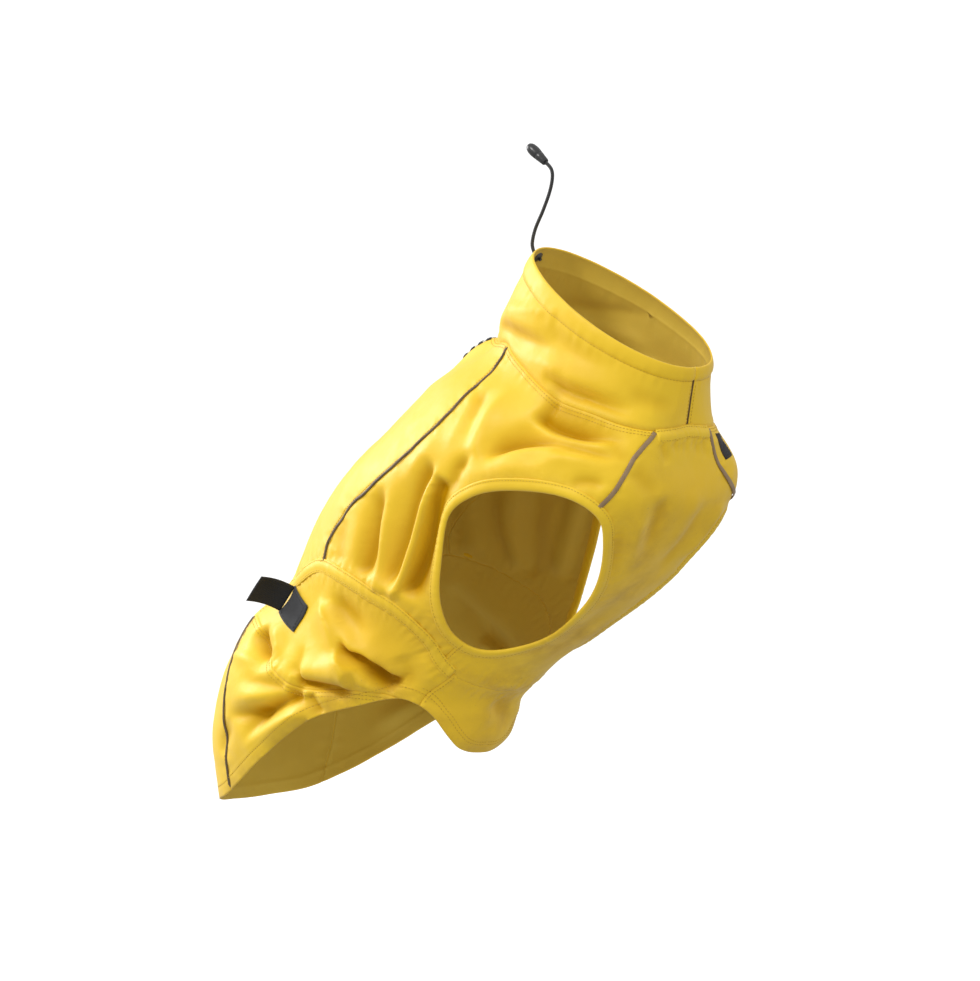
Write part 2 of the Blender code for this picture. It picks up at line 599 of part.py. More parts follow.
# Pieces laid on the panels: name, outline, wall and colour. Where two outlines
# cross, the first one keeps the place.
OVER, ARM_RINGS = [], []
for side, lines in zip(SIDES, (R, LEFT)):
    arm = chain((lines, "arm_front arm_rear"))
    ARM_RINGS.append(arm)
    OVER.append(("armhole_band_" + side, grown_ring(arm, ARM_BAND), BAND, "band"))
for side, lines in zip(SIDES, (R, LEFT)):
    waist = np.concatenate([lines["waist_1"], lines["waist_2"][1:], lines["waist_3"][1:]])
    OVER.append(("waist_casing_" + side, strip(waist, WAIST_BAND, CASING_END), BAND, "band"))
for side, lines in zip(SIDES, (R, LEFT)):
    for name, line, wide, key in (("back_piping_", "back", PIPE_BACK, "pipe"),
                                  ("chest_tape_", "chest", PIPE_CHEST, "tape"),
                                  ("rump_piping_", "rump", PIPE_BACK, "pipe")):
        OVER.append((name + side, strip(lines[line], wide, TRIM_END), TRIM, key))
chest_top = ring_part(COLLAR_SEAM, NECK_SPLIT["right"][1], 360 - NECK_SPLIT["left"][1],
                      MESH, SCALE)
chest_top[:, 1] += CHEST_TOP_DROP / LONG_MM
OVER.append(("chest_top_casing", below(chest_top, CHEST_BAND), BAND, "band"))
OVER.append(("tab_loop_patch", corners(TAB_PATCH), PATCH, "loop"))
OVER.append(("label_plain", corners(LABEL), TRIM, "label"))
OVER.append(("slot_binding", oval(SLOT_BINDING), PATCH, "hook"))


def in_outline(places, outline):
    """True for places in an outline that may run past 180 degrees."""
    return inside(places, outline) | inside(places + (360, 0), outline)


def body_mesh():
    """One mesh of the whole body that keeps to every seam and outline, with
    its places, points, normals and faces."""
    edge_t = np.linspace(0, 1, int(LONG_MM / MESH))
    side = np.stack([np.full(len(edge_t), 180.0), edge_t], 1)
    top = np.concatenate([(LEFT[k][::-1][:-1]) for k in ("neck_2", "neck_1", "neck_0")]
                         + [R[k][:-1] for k in ("neck_0", "neck_1", "neck_2")])
    low = np.concatenate([R[k][::-1][:-1] for k in ("hem_3", "hem_2", "hem_1", "hem_0")]
                         + [LEFT[k][:-1] for k in ("hem_0", "hem_1", "hem_2", "hem_3")])
    outline = np.concatenate([top, side[:-1], low, (side * (-1, 1))[::-1][:-1]])
    cuts = [line for k, line in list(R.items()) + list(LEFT.items())
            if not k.startswith(("neck", "hem", "arm"))]
    for over in OVER:
        ring = np.concatenate([over[1], over[1][:1]])
        cuts.append(ring)
        if ring[:, 0].max() > 180:
            cuts.append(ring - (360, 0))
    places, faces = triangulate(outline, ARM_RINGS + [oval(0)], cuts, MESH, SCALE)
    ends = np.where(np.abs(places[:, 0] + 180) < 1e-3)[0]
    starts = np.where(np.abs(places[:, 0] - 180) < 1e-3)[0]
    swap = np.arange(len(places))
    for i in ends:
        swap[i] = starts[np.abs(places[starts, 1] - places[i, 1]).argmin()]
    mids = places[faces].mean(1)
    faces = swap[faces]
    t, v = places[:, 0], places[:, 1]
    ups = normals(body, t, v) * BODY_SIGN
    seam = np.abs(v - round_line(COLLAR_SEAM, t)) < 5e-4
    ups[seam] = seam_normals(t[seam])
    return body(t, v), ups, faces, mids


def seam_normals(t):
    """Normals shared by the body and the collar along their seam."""
    n = (normals(body, t, round_line(COLLAR_SEAM, t)) * BODY_SIGN
         + normals(collar, t, np.zeros_like(t)) * COLLAR_SIGN)
    return n / np.linalg.norm(n, axis=1, keepdims=True)


def build_body():
    points, ups, faces, mids = body_mesh()
    half = CLOTH / 2
    for name, outline in PANELS.items():
        pick = in_outline(mids, outline)
        wall(name, points, ups, faces[pick], -half, half, SEAM_GAP / 2, "cloth")
    free = np.ones(len(faces), bool)
    for name, outline, thick, key in OVER:
        pick = free & in_outline(mids, outline)
        free &= ~pick
        low = half + LAY_GAP
        wall(name, points, ups, faces[pick], low, low + thick, SEAM_GAP / 2, key)


def build_collar():
    """The collar wraps the neck and closes on a seam in front."""
    low = np.concatenate([LEFT[k][::-1][:-1] for k in ("neck_2", "neck_1", "neck_0")]
                         + [R[k][:-1] for k in ("neck_0", "neck_1")] + [R["neck_2"]])
    low[:, 1] = 0.0
    up = np.linspace(0, 1, int(COLLAR_MM / MESH) + 2)
    right = np.stack([np.full(len(up), 180.0), up], 1)
    top_t = np.linspace(180, -180, int(360 * COLLAR_DEG_MM / MESH) + 1)
    top = np.stack([top_t, np.ones(len(top_t))], 1)
    outline = np.concatenate([low[:-1], right[:-1], top[:-1], (right * (-1, 1))[::-1][:-1]])
    rim = disc(EYELET_HOLE / 2 + EYELET_RIM)
    places, faces = triangulate(outline, [disc(EYELET_HOLE / 2)],
                                [np.concatenate([rim, rim[:1]])], MESH, COLLAR_SCALE)
    t, h = places[:, 0], places[:, 1]
    points, ups = collar(t, h), normals(collar, t, np.clip(h, 0, 1)) * COLLAR_SIGN
    seam = h < 1e-4
    ups[seam] = seam_normals(t[seam])
    half = CLOTH / 2
    wall("collar", points, ups, faces, -half, half, SEAM_GAP / 2, "cloth")
    pick = inside(places[faces].mean(1), rim)
    low_at = half + LAY_GAP
    wall("cord_eyelet", points, ups, faces[pick], low_at, low_at + TRIM, 0.0, "eyelet")


def build_flap():
    """The free end of the waist tab stands off from the back edge of its patch."""
    (t0, v0), (t1, v1) = TAB_PATCH[0], TAB_PATCH[3]
    across = np.linspace(FLAP_MARGIN, 1 - FLAP_MARGIN, 4)
    t, v = t0 + (t1 - t0) * across, v0 + (v1 - v0) * across
    root, up = body(t, v), normals(body, t, v) * BODY_SIGN
    up = up.mean(0) / np.linalg.norm(up.mean(0))
    side = (root[-1] - root[0]) / np.linalg.norm(root[-1] - root[0])
    face = np.cross(side, up)
    start = CLOTH / 2 + LAY_GAP + PATCH + SEAM_GAP
    rows = [root + up * (start + FLAP_LENGTH * s) + side * FLAP_SWAY * s ** 2
            + face * FLAP_BEND * math.sin(math.pi * s) for s in np.linspace(0, 1, 6)]
    wide, faces = len(across), []
    for r in range(len(rows) - 1):
        for c in range(wide - 1):
            a = r * wide + c
            faces.append((a, a + 1, a + wide + 1, a + wide))
    obj = add_object("tab_hook_flap", np.concatenate(rows), faces, "hook")
    shell = obj.modifiers.new("shell", "SOLIDIFY")
    shell.thickness, shell.offset = FLAP_WALL * MM, 0.0


def build_cord():
    """The free end of the drawcord, through its eyelet to a bell-shaped end."""
    t, h = np.array([EYELET_T]), np.array([EYELET_H])
    hole, out = collar(t, h)[0], (normals(collar, t, h) * COLLAR_SIGN)[0]
    start = [hole - out * CORD_INSIDE, hole + out, hole + out * CORD_OUTSIDE]
    f, z = (np.array(c) for c in zip(*[(-p[1], p[2]) for p in start], *CORD))
    s = np.arange(len(f), dtype=float)
    fine = np.linspace(0, len(f) - 1, 2 * len(f) - 1)
    line = np.stack([np.zeros(len(fine)), -spline(s, f, fine), spline(s, z, fine)], 1)
    axis = np.array([0.0, -BELL_AXIS[0], BELL_AXIS[1]])
    mouth = line[-1] + axis * BELL_WAIST
    line = np.concatenate([line, [mouth, mouth + axis * (BELL_BORE - CORD_GAP)]]) * MM
    curve = bpy.data.curves.new("drawcord", "CURVE")
    curve.dimensions, curve.use_fill_caps = "3D", True
    curve.bevel_depth, curve.bevel_resolution = CORD_WIDTH / 2 * MM, 2
    run = curve.splines.new("POLY")
    run.points.add(len(line) - 1)
    for point, place in zip(run.points, line):
        point.co = (*place, 1)
    link("drawcord", curve, "cord")
    bell = build_bell()
    bell.location = mouth * MM
    bell.rotation_euler = (math.atan2(BELL_AXIS[0], BELL_AXIS[1]), 0, 0)


def build_bell():
    """A turned bell with a blind hole for the cord, its mouth at z = 0."""
    bore, wide, long = CORD_WIDTH / 2 + CORD_GAP, BELL_WIDTH / 2, BELL_LENGTH
    #          radius       height
    rows = ((0.0,           long), (wide * 0.55, long * 0.95), (wide * 0.90, long * 0.82),
            (wide,          long * 0.62), (wide * 0.86, long * 0.35), (wide * 0.72, long * 0.12),
            (wide * 0.62,   0.0), (bore, 0.0), (bore, BELL_BORE), (0.0, BELL_BORE))
    mesh = bpy.data.meshes.new("cord_bell")
    mesh.from_pydata([(r * MM, 0, z * MM) for r, z in rows],
                     [(i, i + 1) for i in range(len(rows) - 1)], [])
    obj = link("cord_bell", mesh, "hook")
    turn = obj.modifiers.new("turn", "SCREW")
    turn.steps = turn.render_steps = 14
    turn.use_merge_vertices, turn.merge_threshold = True, 1e-5
    return obj


build_body()
build_collar()
build_flap()
build_cord()
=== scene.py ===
"""Looks of the dog raincoat: fine cloth, trims, stitching, materials and light.

Sizes are in millimetres and angles in degrees; meshes are made in metres. The
coat faces -Y, its right side is -X, and +Z is up. A place on it is (t, v): t
runs round the body from 0 on the back over 90 on the right to 180 on the
belly, and v from 0 at the collar seam to 1 at the hem. The forms repeat the
model's own sizes and tables; the creases, gathers and stitches are added here.
"""
import math
from functools import lru_cache
import bmesh
import bpy
import numpy as np
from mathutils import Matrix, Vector, noise
from mathutils.bvhtree import BVHTree
from mathutils.geometry import delaunay_2d_cdt
from mathutils.kdtree import KDTree


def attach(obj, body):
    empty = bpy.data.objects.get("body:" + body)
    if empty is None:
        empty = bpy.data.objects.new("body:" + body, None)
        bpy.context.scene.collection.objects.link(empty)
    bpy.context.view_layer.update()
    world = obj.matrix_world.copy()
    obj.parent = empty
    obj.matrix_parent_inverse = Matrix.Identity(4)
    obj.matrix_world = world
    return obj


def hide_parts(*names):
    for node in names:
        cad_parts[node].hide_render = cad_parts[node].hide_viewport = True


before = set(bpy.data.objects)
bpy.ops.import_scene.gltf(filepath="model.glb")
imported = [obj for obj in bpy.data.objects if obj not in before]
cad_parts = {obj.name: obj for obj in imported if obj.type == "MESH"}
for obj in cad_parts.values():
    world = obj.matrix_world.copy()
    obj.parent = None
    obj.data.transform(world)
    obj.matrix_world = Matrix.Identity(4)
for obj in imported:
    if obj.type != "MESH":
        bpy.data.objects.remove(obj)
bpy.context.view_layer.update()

MM = 0.001
FINE = 2.5              # spacing of the points of the fine cloth
SHELL = 0.7             # wall of the cloth shown
HEM_SHELL = 1.5         # and where it is turned over at a hem
HEM_TURN = 11.0         # depth of that turned hem
HEM_ROW = HEM_TURN - 1.6                   # where its stitches run
GROOVE, GROOVE_REACH = 0.9, 1.3            # depth and reach of the groove along a seam
DENT, DENT_REACH = 0.35, 0.8               # and of the dent along a row of stitches
CREST = 1.7             # how round the crest of a crisp crease is
CREASE_REACH = 4.2      # reaches over which a crease is worked out
CREST_STEP = 1.9        # spacing of the cloth's points along a crease
CREST_SIDES = (1.5, 3.0, 4.7, 6.6, 8.8)    # and how far beside it the next rows of points lie
BESIDE_GAP = 1.1        # least space between those points
STRAP_STEP = 2.2        # spacing of the sections of bands and trims
ARM_ROUND = 16.0        # length over which the corners of an armhole are rounded
SWAY_LENGTH = 26.0      # length of the sway of sewn trim
THREAD_SUNK = 0.12      # depth of a stitch's ends in the cloth
RIM_ROUND = 0.35        # share of its wall by which the cloth's rim is rounded
MITRE_LEAST = 0.3       # keeps the rim from running out at a sharp corner
CRISP, COLLAR_CRISP = 1.75, 1.45           # creases of a lower shape get points on their crest
SHADE_FROM, SHADE_OVER = 0.8, 8.0            # depth in a crease where its painted shade starts, and its span
END_OVER, END_LOW = 2.0, 0.45              # how a band's end thins out, in mm and in share
PATCH_STEP = 1.6        # spacing of the points of a laid patch
FLAP_ROOT, FLAP_CUP = 1.2, 0.8             # how deep the tab's end starts, and how it cups
BAR_PITCH, BAR_HALF = 10.2, 3.1            # spacing and half length of the slot's bar tacks
SEAT_REACH = 4.5        # how far off its line a stitch looks for the cloth
TURNED_SIDES, SHARP = 40, 42               # sides of a turned piece, angle of its sharp edges
STITCH, PITCH, THREAD = 2.3, 3.1, 0.27     # length, spacing and radius of a stitch
# How far rows of stitches run from their seam, or from the middle of their band.
HIP_ROWS, COLLAR_ROWS, SEAM_ROW, TRIM_ROW = (3.2, 6.6), (2.4, 5.2), 2.6, -2.9
WAIST_ROWS, CHEST_ROWS, ARM_ROW = (-4.4, 4.4), (-3.9, 4.4), 8.0

# Driving sizes.
CLOTH = 1.5             # wall of a cloth panel
SEAM_GAP = 0.3          # space left between two pieces along a seam
LAY_GAP = 0.35          # space under a piece that lies on a panel
PATCH = 1.4             # wall of the hook-and-loop patch and the slot binding
FLAP_WALL = 1.6         # wall of the tab's free end
FLAP_BEND = 2.0         # how far that end bows out of a plane
FLAP_MARGIN = 0.06      # share of the tab's width left bare on each side of it
CHEST_TOP_DROP = 2.5    # from the collar seam to the casing on the chest
CASING_END, TRIM_END = 2.0, 3.0     # how far casings and trims stop short of a seam
CHEST_BAND = 11.0       # width of the elastic casing on top of the chest
SLOT_LENGTH = 32.0      # opening for a leash on the middle of the back
SLOT_WIDTH = 3.2
SLOT_BINDING = 3.4      # width of the binding round that opening
SLOT_TOP = 5.0          # from the collar seam to the binding
FLAP_LENGTH = 29.0      # free end of the waist tab, standing off the coat
FLAP_SWAY = 5.0         # how far that end leans towards the hem
CORD_WIDTH = 3.2
BELL_LENGTH = 24.0
BELL_WIDTH = 9.6
BELL_BORE = 6.0         # depth of the hole that takes the cord
BELL_WAIST = 1.5        # bare cord between its last bend and the bell
CORD_GAP = 0.35         # space between the cord and what it runs through
EYELET_HOLE = CORD_WIDTH + 2 * CORD_GAP
EYELET_RIM = 3.4
EYELET_T, EYELET_H = 0.0, 0.90
DEG_MM = 1.85           # pattern width of one degree round the body
LONG_MM = 520.0         # pattern length from collar to hem
COLLAR_DEG_MM = 1.3
COLLAR_MM = 78.0
SLOT_DEG_MM = 1.3       # the same two lengths at the opening on the back
SLOT_LONG_MM = 600.0
EYELET_DEG_MM = 0.95    # and at the eyelet on the collar
EYELET_LONG_MM = 110.0
SEAM_COLLAR_MM = 70.0   # length of the collar from seam to top, as counted beside its seam
FRONT_DEG_MM = 1.2      # width of one degree at the front of the collar
SCALE = np.array([DEG_MM, LONG_MM])             # mm of pattern for (t, v)
COLLAR_SCALE = np.array([COLLAR_DEG_MM, COLLAR_MM])
SIDES = ("right", "left")

# Sections of the body: f is forward, z is up, w is half the width, egg makes
# a section wider towards the belly and box makes its belly side squarer.
#    v     back_f  back_z  front_f front_z    w     egg   box
BODY = (
    (-0.06,   21.1,   19.7,  185.3,  -39.4,  60.0, 0.20, 0.15),
    (0.00,     0.0,    0.0,  205.3,  -61.5,  63.5, 0.20, 0.25),
    (0.10,   -49.9,  -27.8,  207.7,  -91.2,  84.8, 0.12, 0.43),
    (0.20,   -92.0,  -62.9,  207.7, -126.1, 101.7, 0.09, 0.42),
    (0.30,  -142.0, -103.5,  181.8, -165.2, 105.0, 0.06, 0.42),
    (0.40,  -177.8, -145.2,  143.6, -207.0, 102.0, 0.04, 0.25),
    (0.50,  -200.6, -184.5,   94.2, -242.0,  98.0, 0.02, 0.08),
    (0.58,  -219.4, -216.1,   47.2, -271.4,  90.0, 0.00, 0.00),
    (0.64,  -250.1, -236.2,   25.5, -288.6,  92.0, 0.00, 0.00),
    (0.70,  -266.4, -255.7,    3.9, -302.3,  98.0, 0.00, 0.00),
    (0.80,  -287.4, -294.1,   -6.7, -320.7, 102.0, 0.02, 0.00),
    (0.90,  -301.3, -344.1,  -12.2, -336.3,  96.0, 0.04, 0.00),
    (1.00,  -298.8, -403.7,  -23.9, -350.4,  80.0, 0.04, 0.00),
)
# Sections of the standing collar, from its seam (h 0) to its top edge (h 1).
#    h     back_f  back_z  front_f front_z    w     egg   box
COLLAR = (
    (0.00,    0.0,    0.0,  205.3,  -61.5,  63.5, 0.20, 0.25),
    (0.30,   11.0,   25.0,  207.5,  -49.0,  64.0, 0.16, 0.18),
    (0.65,   26.5,   52.5,  210.5,  -33.0,  62.0, 0.12, 0.10),
    (1.00,   48.0,   82.0,  215.0,  -12.5,  59.0, 0.10, 0.05),
)
# Lines that run round the coat, the same on both sides: t, v.
COLLAR_SEAM = ((0, 0), (25, -0.016), (46.5, -0.033), (57.5, -0.025), (73, -0.013), (84.5, 0),
               (98, 0.014), (119, 0.011), (146.5, 0.016), (165, 0.008), (180, 0))
WAIST_SEAM = ((0, 0.6), (20, 0.583), (30, 0.568), (41, 0.54), (48, 0.511), (55, 0.487),
              (60, 0.483), (65, 0.484), (77, 0.492), (87, 0.503), (97, 0.514), (110, 0.54),
              (120, 0.565), (130, 0.6), (140, 0.63), (150, 0.65), (165, 0.665), (180, 0.67))
HIP_SEAM = ((27, 0.645), (35, 0.643), (47, 0.65), (65, 0.69), (75, 0.73), (87, 0.757), (95, 0.755),
            (103, 0.743), (112, 0.73), (120, 0.723), (131, 0.732))
HEM = ((0, 1), (24, 1), (50, 0.993), (68, 0.963), (81, 0.925), (91, 0.883), (99, 0.843),
       (107, 0.812), (117, 0.777), (124, 0.748), (131, 0.732), (138, 0.742), (144, 0.768),
       (150, 0.815), (156, 0.89), (162, 0.95), (169, 0.985), (180, 1))
# Seams that run along the coat, given for the right side: t, v.
BACK_SEAM = ((46.5, -0.033), (50.5, 0.002), (56, 0.035), (60, 0.068), (63.5, 0.13), (62.5, 0.191),
             (61.5, 0.246), (59.5, 0.3), (55, 0.359), (53.5, 0.408), (53.5, 0.431), (58, 0.484))
RUMP_SEAM = ((20, 0.583), (24, 0.62), (27, 0.645), (33.5, 0.688), (39, 0.728), (44.5, 0.782),
             (48.5, 0.833), (51, 0.88), (51.5, 0.925), (50, 0.993))
# The chest panel is pulled a little to the right, so its two seams differ.
CHEST_SEAMS = {
    "right": ((153, 0.014), (149.5, 0.042), (146.5, 0.073), (142.5, 0.135),
              (138.5, 0.205), (136.3, 0.231)),
    "left": ((160.5, 0.009), (160, 0.073), (157, 0.127), (150, 0.182), (136.3, 0.231)),
}
# Armhole, from the end of the chest seam round the front and the bottom to the
# underarm seam, and back over the rear and the top: t, v.
ARM_FRONT = ((136.3, 0.231), (139.5, 0.243), (144.5, 0.283), (149, 0.322), (154.5, 0.374),
             (158.5, 0.421), (161, 0.468), (162, 0.502), (159, 0.527), (153.5, 0.542),
             (147.5, 0.555), (139.5, 0.56), (130, 0.549))
ARM_REAR = ((130, 0.549), (124.5, 0.537), (113.5, 0.49), (105.5, 0.431), (102, 0.396), (96, 0.334),
            (94.5, 0.315), (94.5, 0.29), (97, 0.265), (100.5, 0.247), (105, 0.235), (114.5, 0.219),
            (123.5, 0.211), (132.5, 0.22), (136.3, 0.231))
# Where the lines round the coat meet the seams along it.
NECK_SPLIT = {"right": (46.5, 153), "left": (46.5, 160.5)}
WAIST_SPLIT = (20, 58, 130, 140)
HEM_SPLIT = (50, 131, 140)
TAB_PATCH = ((42.0, 0.552), (61.0, 0.572), (69.0, 0.630), (48.5, 0.610))
LABEL = ((-154.5, 0.034), (-147.0, 0.040), (-145.5, 0.108), (-152.0, 0.112))
# Free end of the collar's drawcord in the middle plane: forward, up.
CORD = ((34.5, 85), (38, 98), (46, 113), (53, 128), (56.5, 140), (56, 148.5), (50.5, 154))
CORD_INSIDE, CORD_OUTSIDE = 3.0, 5.0    # how far it runs straight through its eyelet
BELL_AXIS = (-0.81, 0.586)     # forward and up, from the cord outwards

# Main folds: three places (t, v) from end to end, height in mm (a trough is
# below 0), and the reach in mm on its two sides.
# t0, v0, t1, v1, t2, v2, rise, side_a, side_b
FOLDS = (
    (60, 0.32, 72, 0.395, 83, 0.472, -5.5, 11, 9),
    (71, 0.25, 80, 0.365, 89, 0.47, -6.5, 13, 10),
    (84, 0.285, 92, 0.385, 103, 0.48, -7, 12, 9),
    (92, 0.18, 107, 0.08, 144, 0.045, -5.5, 12, 12),
    (91, 0.236, 103, 0.19, 122, 0.165, 5, 13, 10),
    (-151, 0.085, -144, 0.14, -146, 0.215, 5.5, 20, 20),
    (70, 0.545, 86, 0.59, 116, 0.655, 8, 20, 8),
    (93, 0.69, 107, 0.672, 124, 0.69, 7, 20, 8),
    (48, 0.668, 62, 0.7, 70, 0.745, -6, 13, 11),
    (89, 0.775, 80, 0.85, 70, 0.93, -5, 13, 13),
    (-58, 0.3, -70, 0.395, -84, 0.468, -6, 12, 10),
    (-76, 0.25, -84, 0.37, -98, 0.47, -6.5, 11, 12),
    (-92, 0.185, -112, 0.085, -140, 0.07, -5, 13, 11),
    (-88, 0.24, -102, 0.195, -122, 0.17, 4.5, 12, 12),
    (-66, 0.55, -88, 0.6, -118, 0.65, 7, 9, 20),
    (-50, 0.672, -64, 0.705, -76, 0.76, -5.5, 13, 12),
    (-92, 0.79, -78, 0.86, -66, 0.925, -4.5, 13, 13),
    (-12, 0.64, 2, 0.7, 10, 0.78, -5, 16, 14),
    (0, -0.015, 0, 0.035, 0, 0.09, 9, 13, 13),
)
# Folds of the collar, in (t, h).
FOLD_REACH = 2.6        # reaches over which a fold is worked out
COLLAR_FADE = 0.15      # height over which the collar's folds grow from its seam
TUNNEL = 0.81           # height of the seam below the cord's tunnel
COLLAR_FOLDS = (
    (16, 0.22, 44, 0.34, 84, 0.7, 4.5, 11, 10),
    (30, 0.1, 62, 0.26, 100, 0.58, -4, 9, 9),
    (88, 0.16, 118, 0.2, 150, 0.34, -4.5, 10, 9),
    (-20, 0.3, -52, 0.36, -92, 0.62, 4, 12, 10),
    (-80, 0.14, -112, 0.24, -150, 0.3, -4, 10, 9),
)
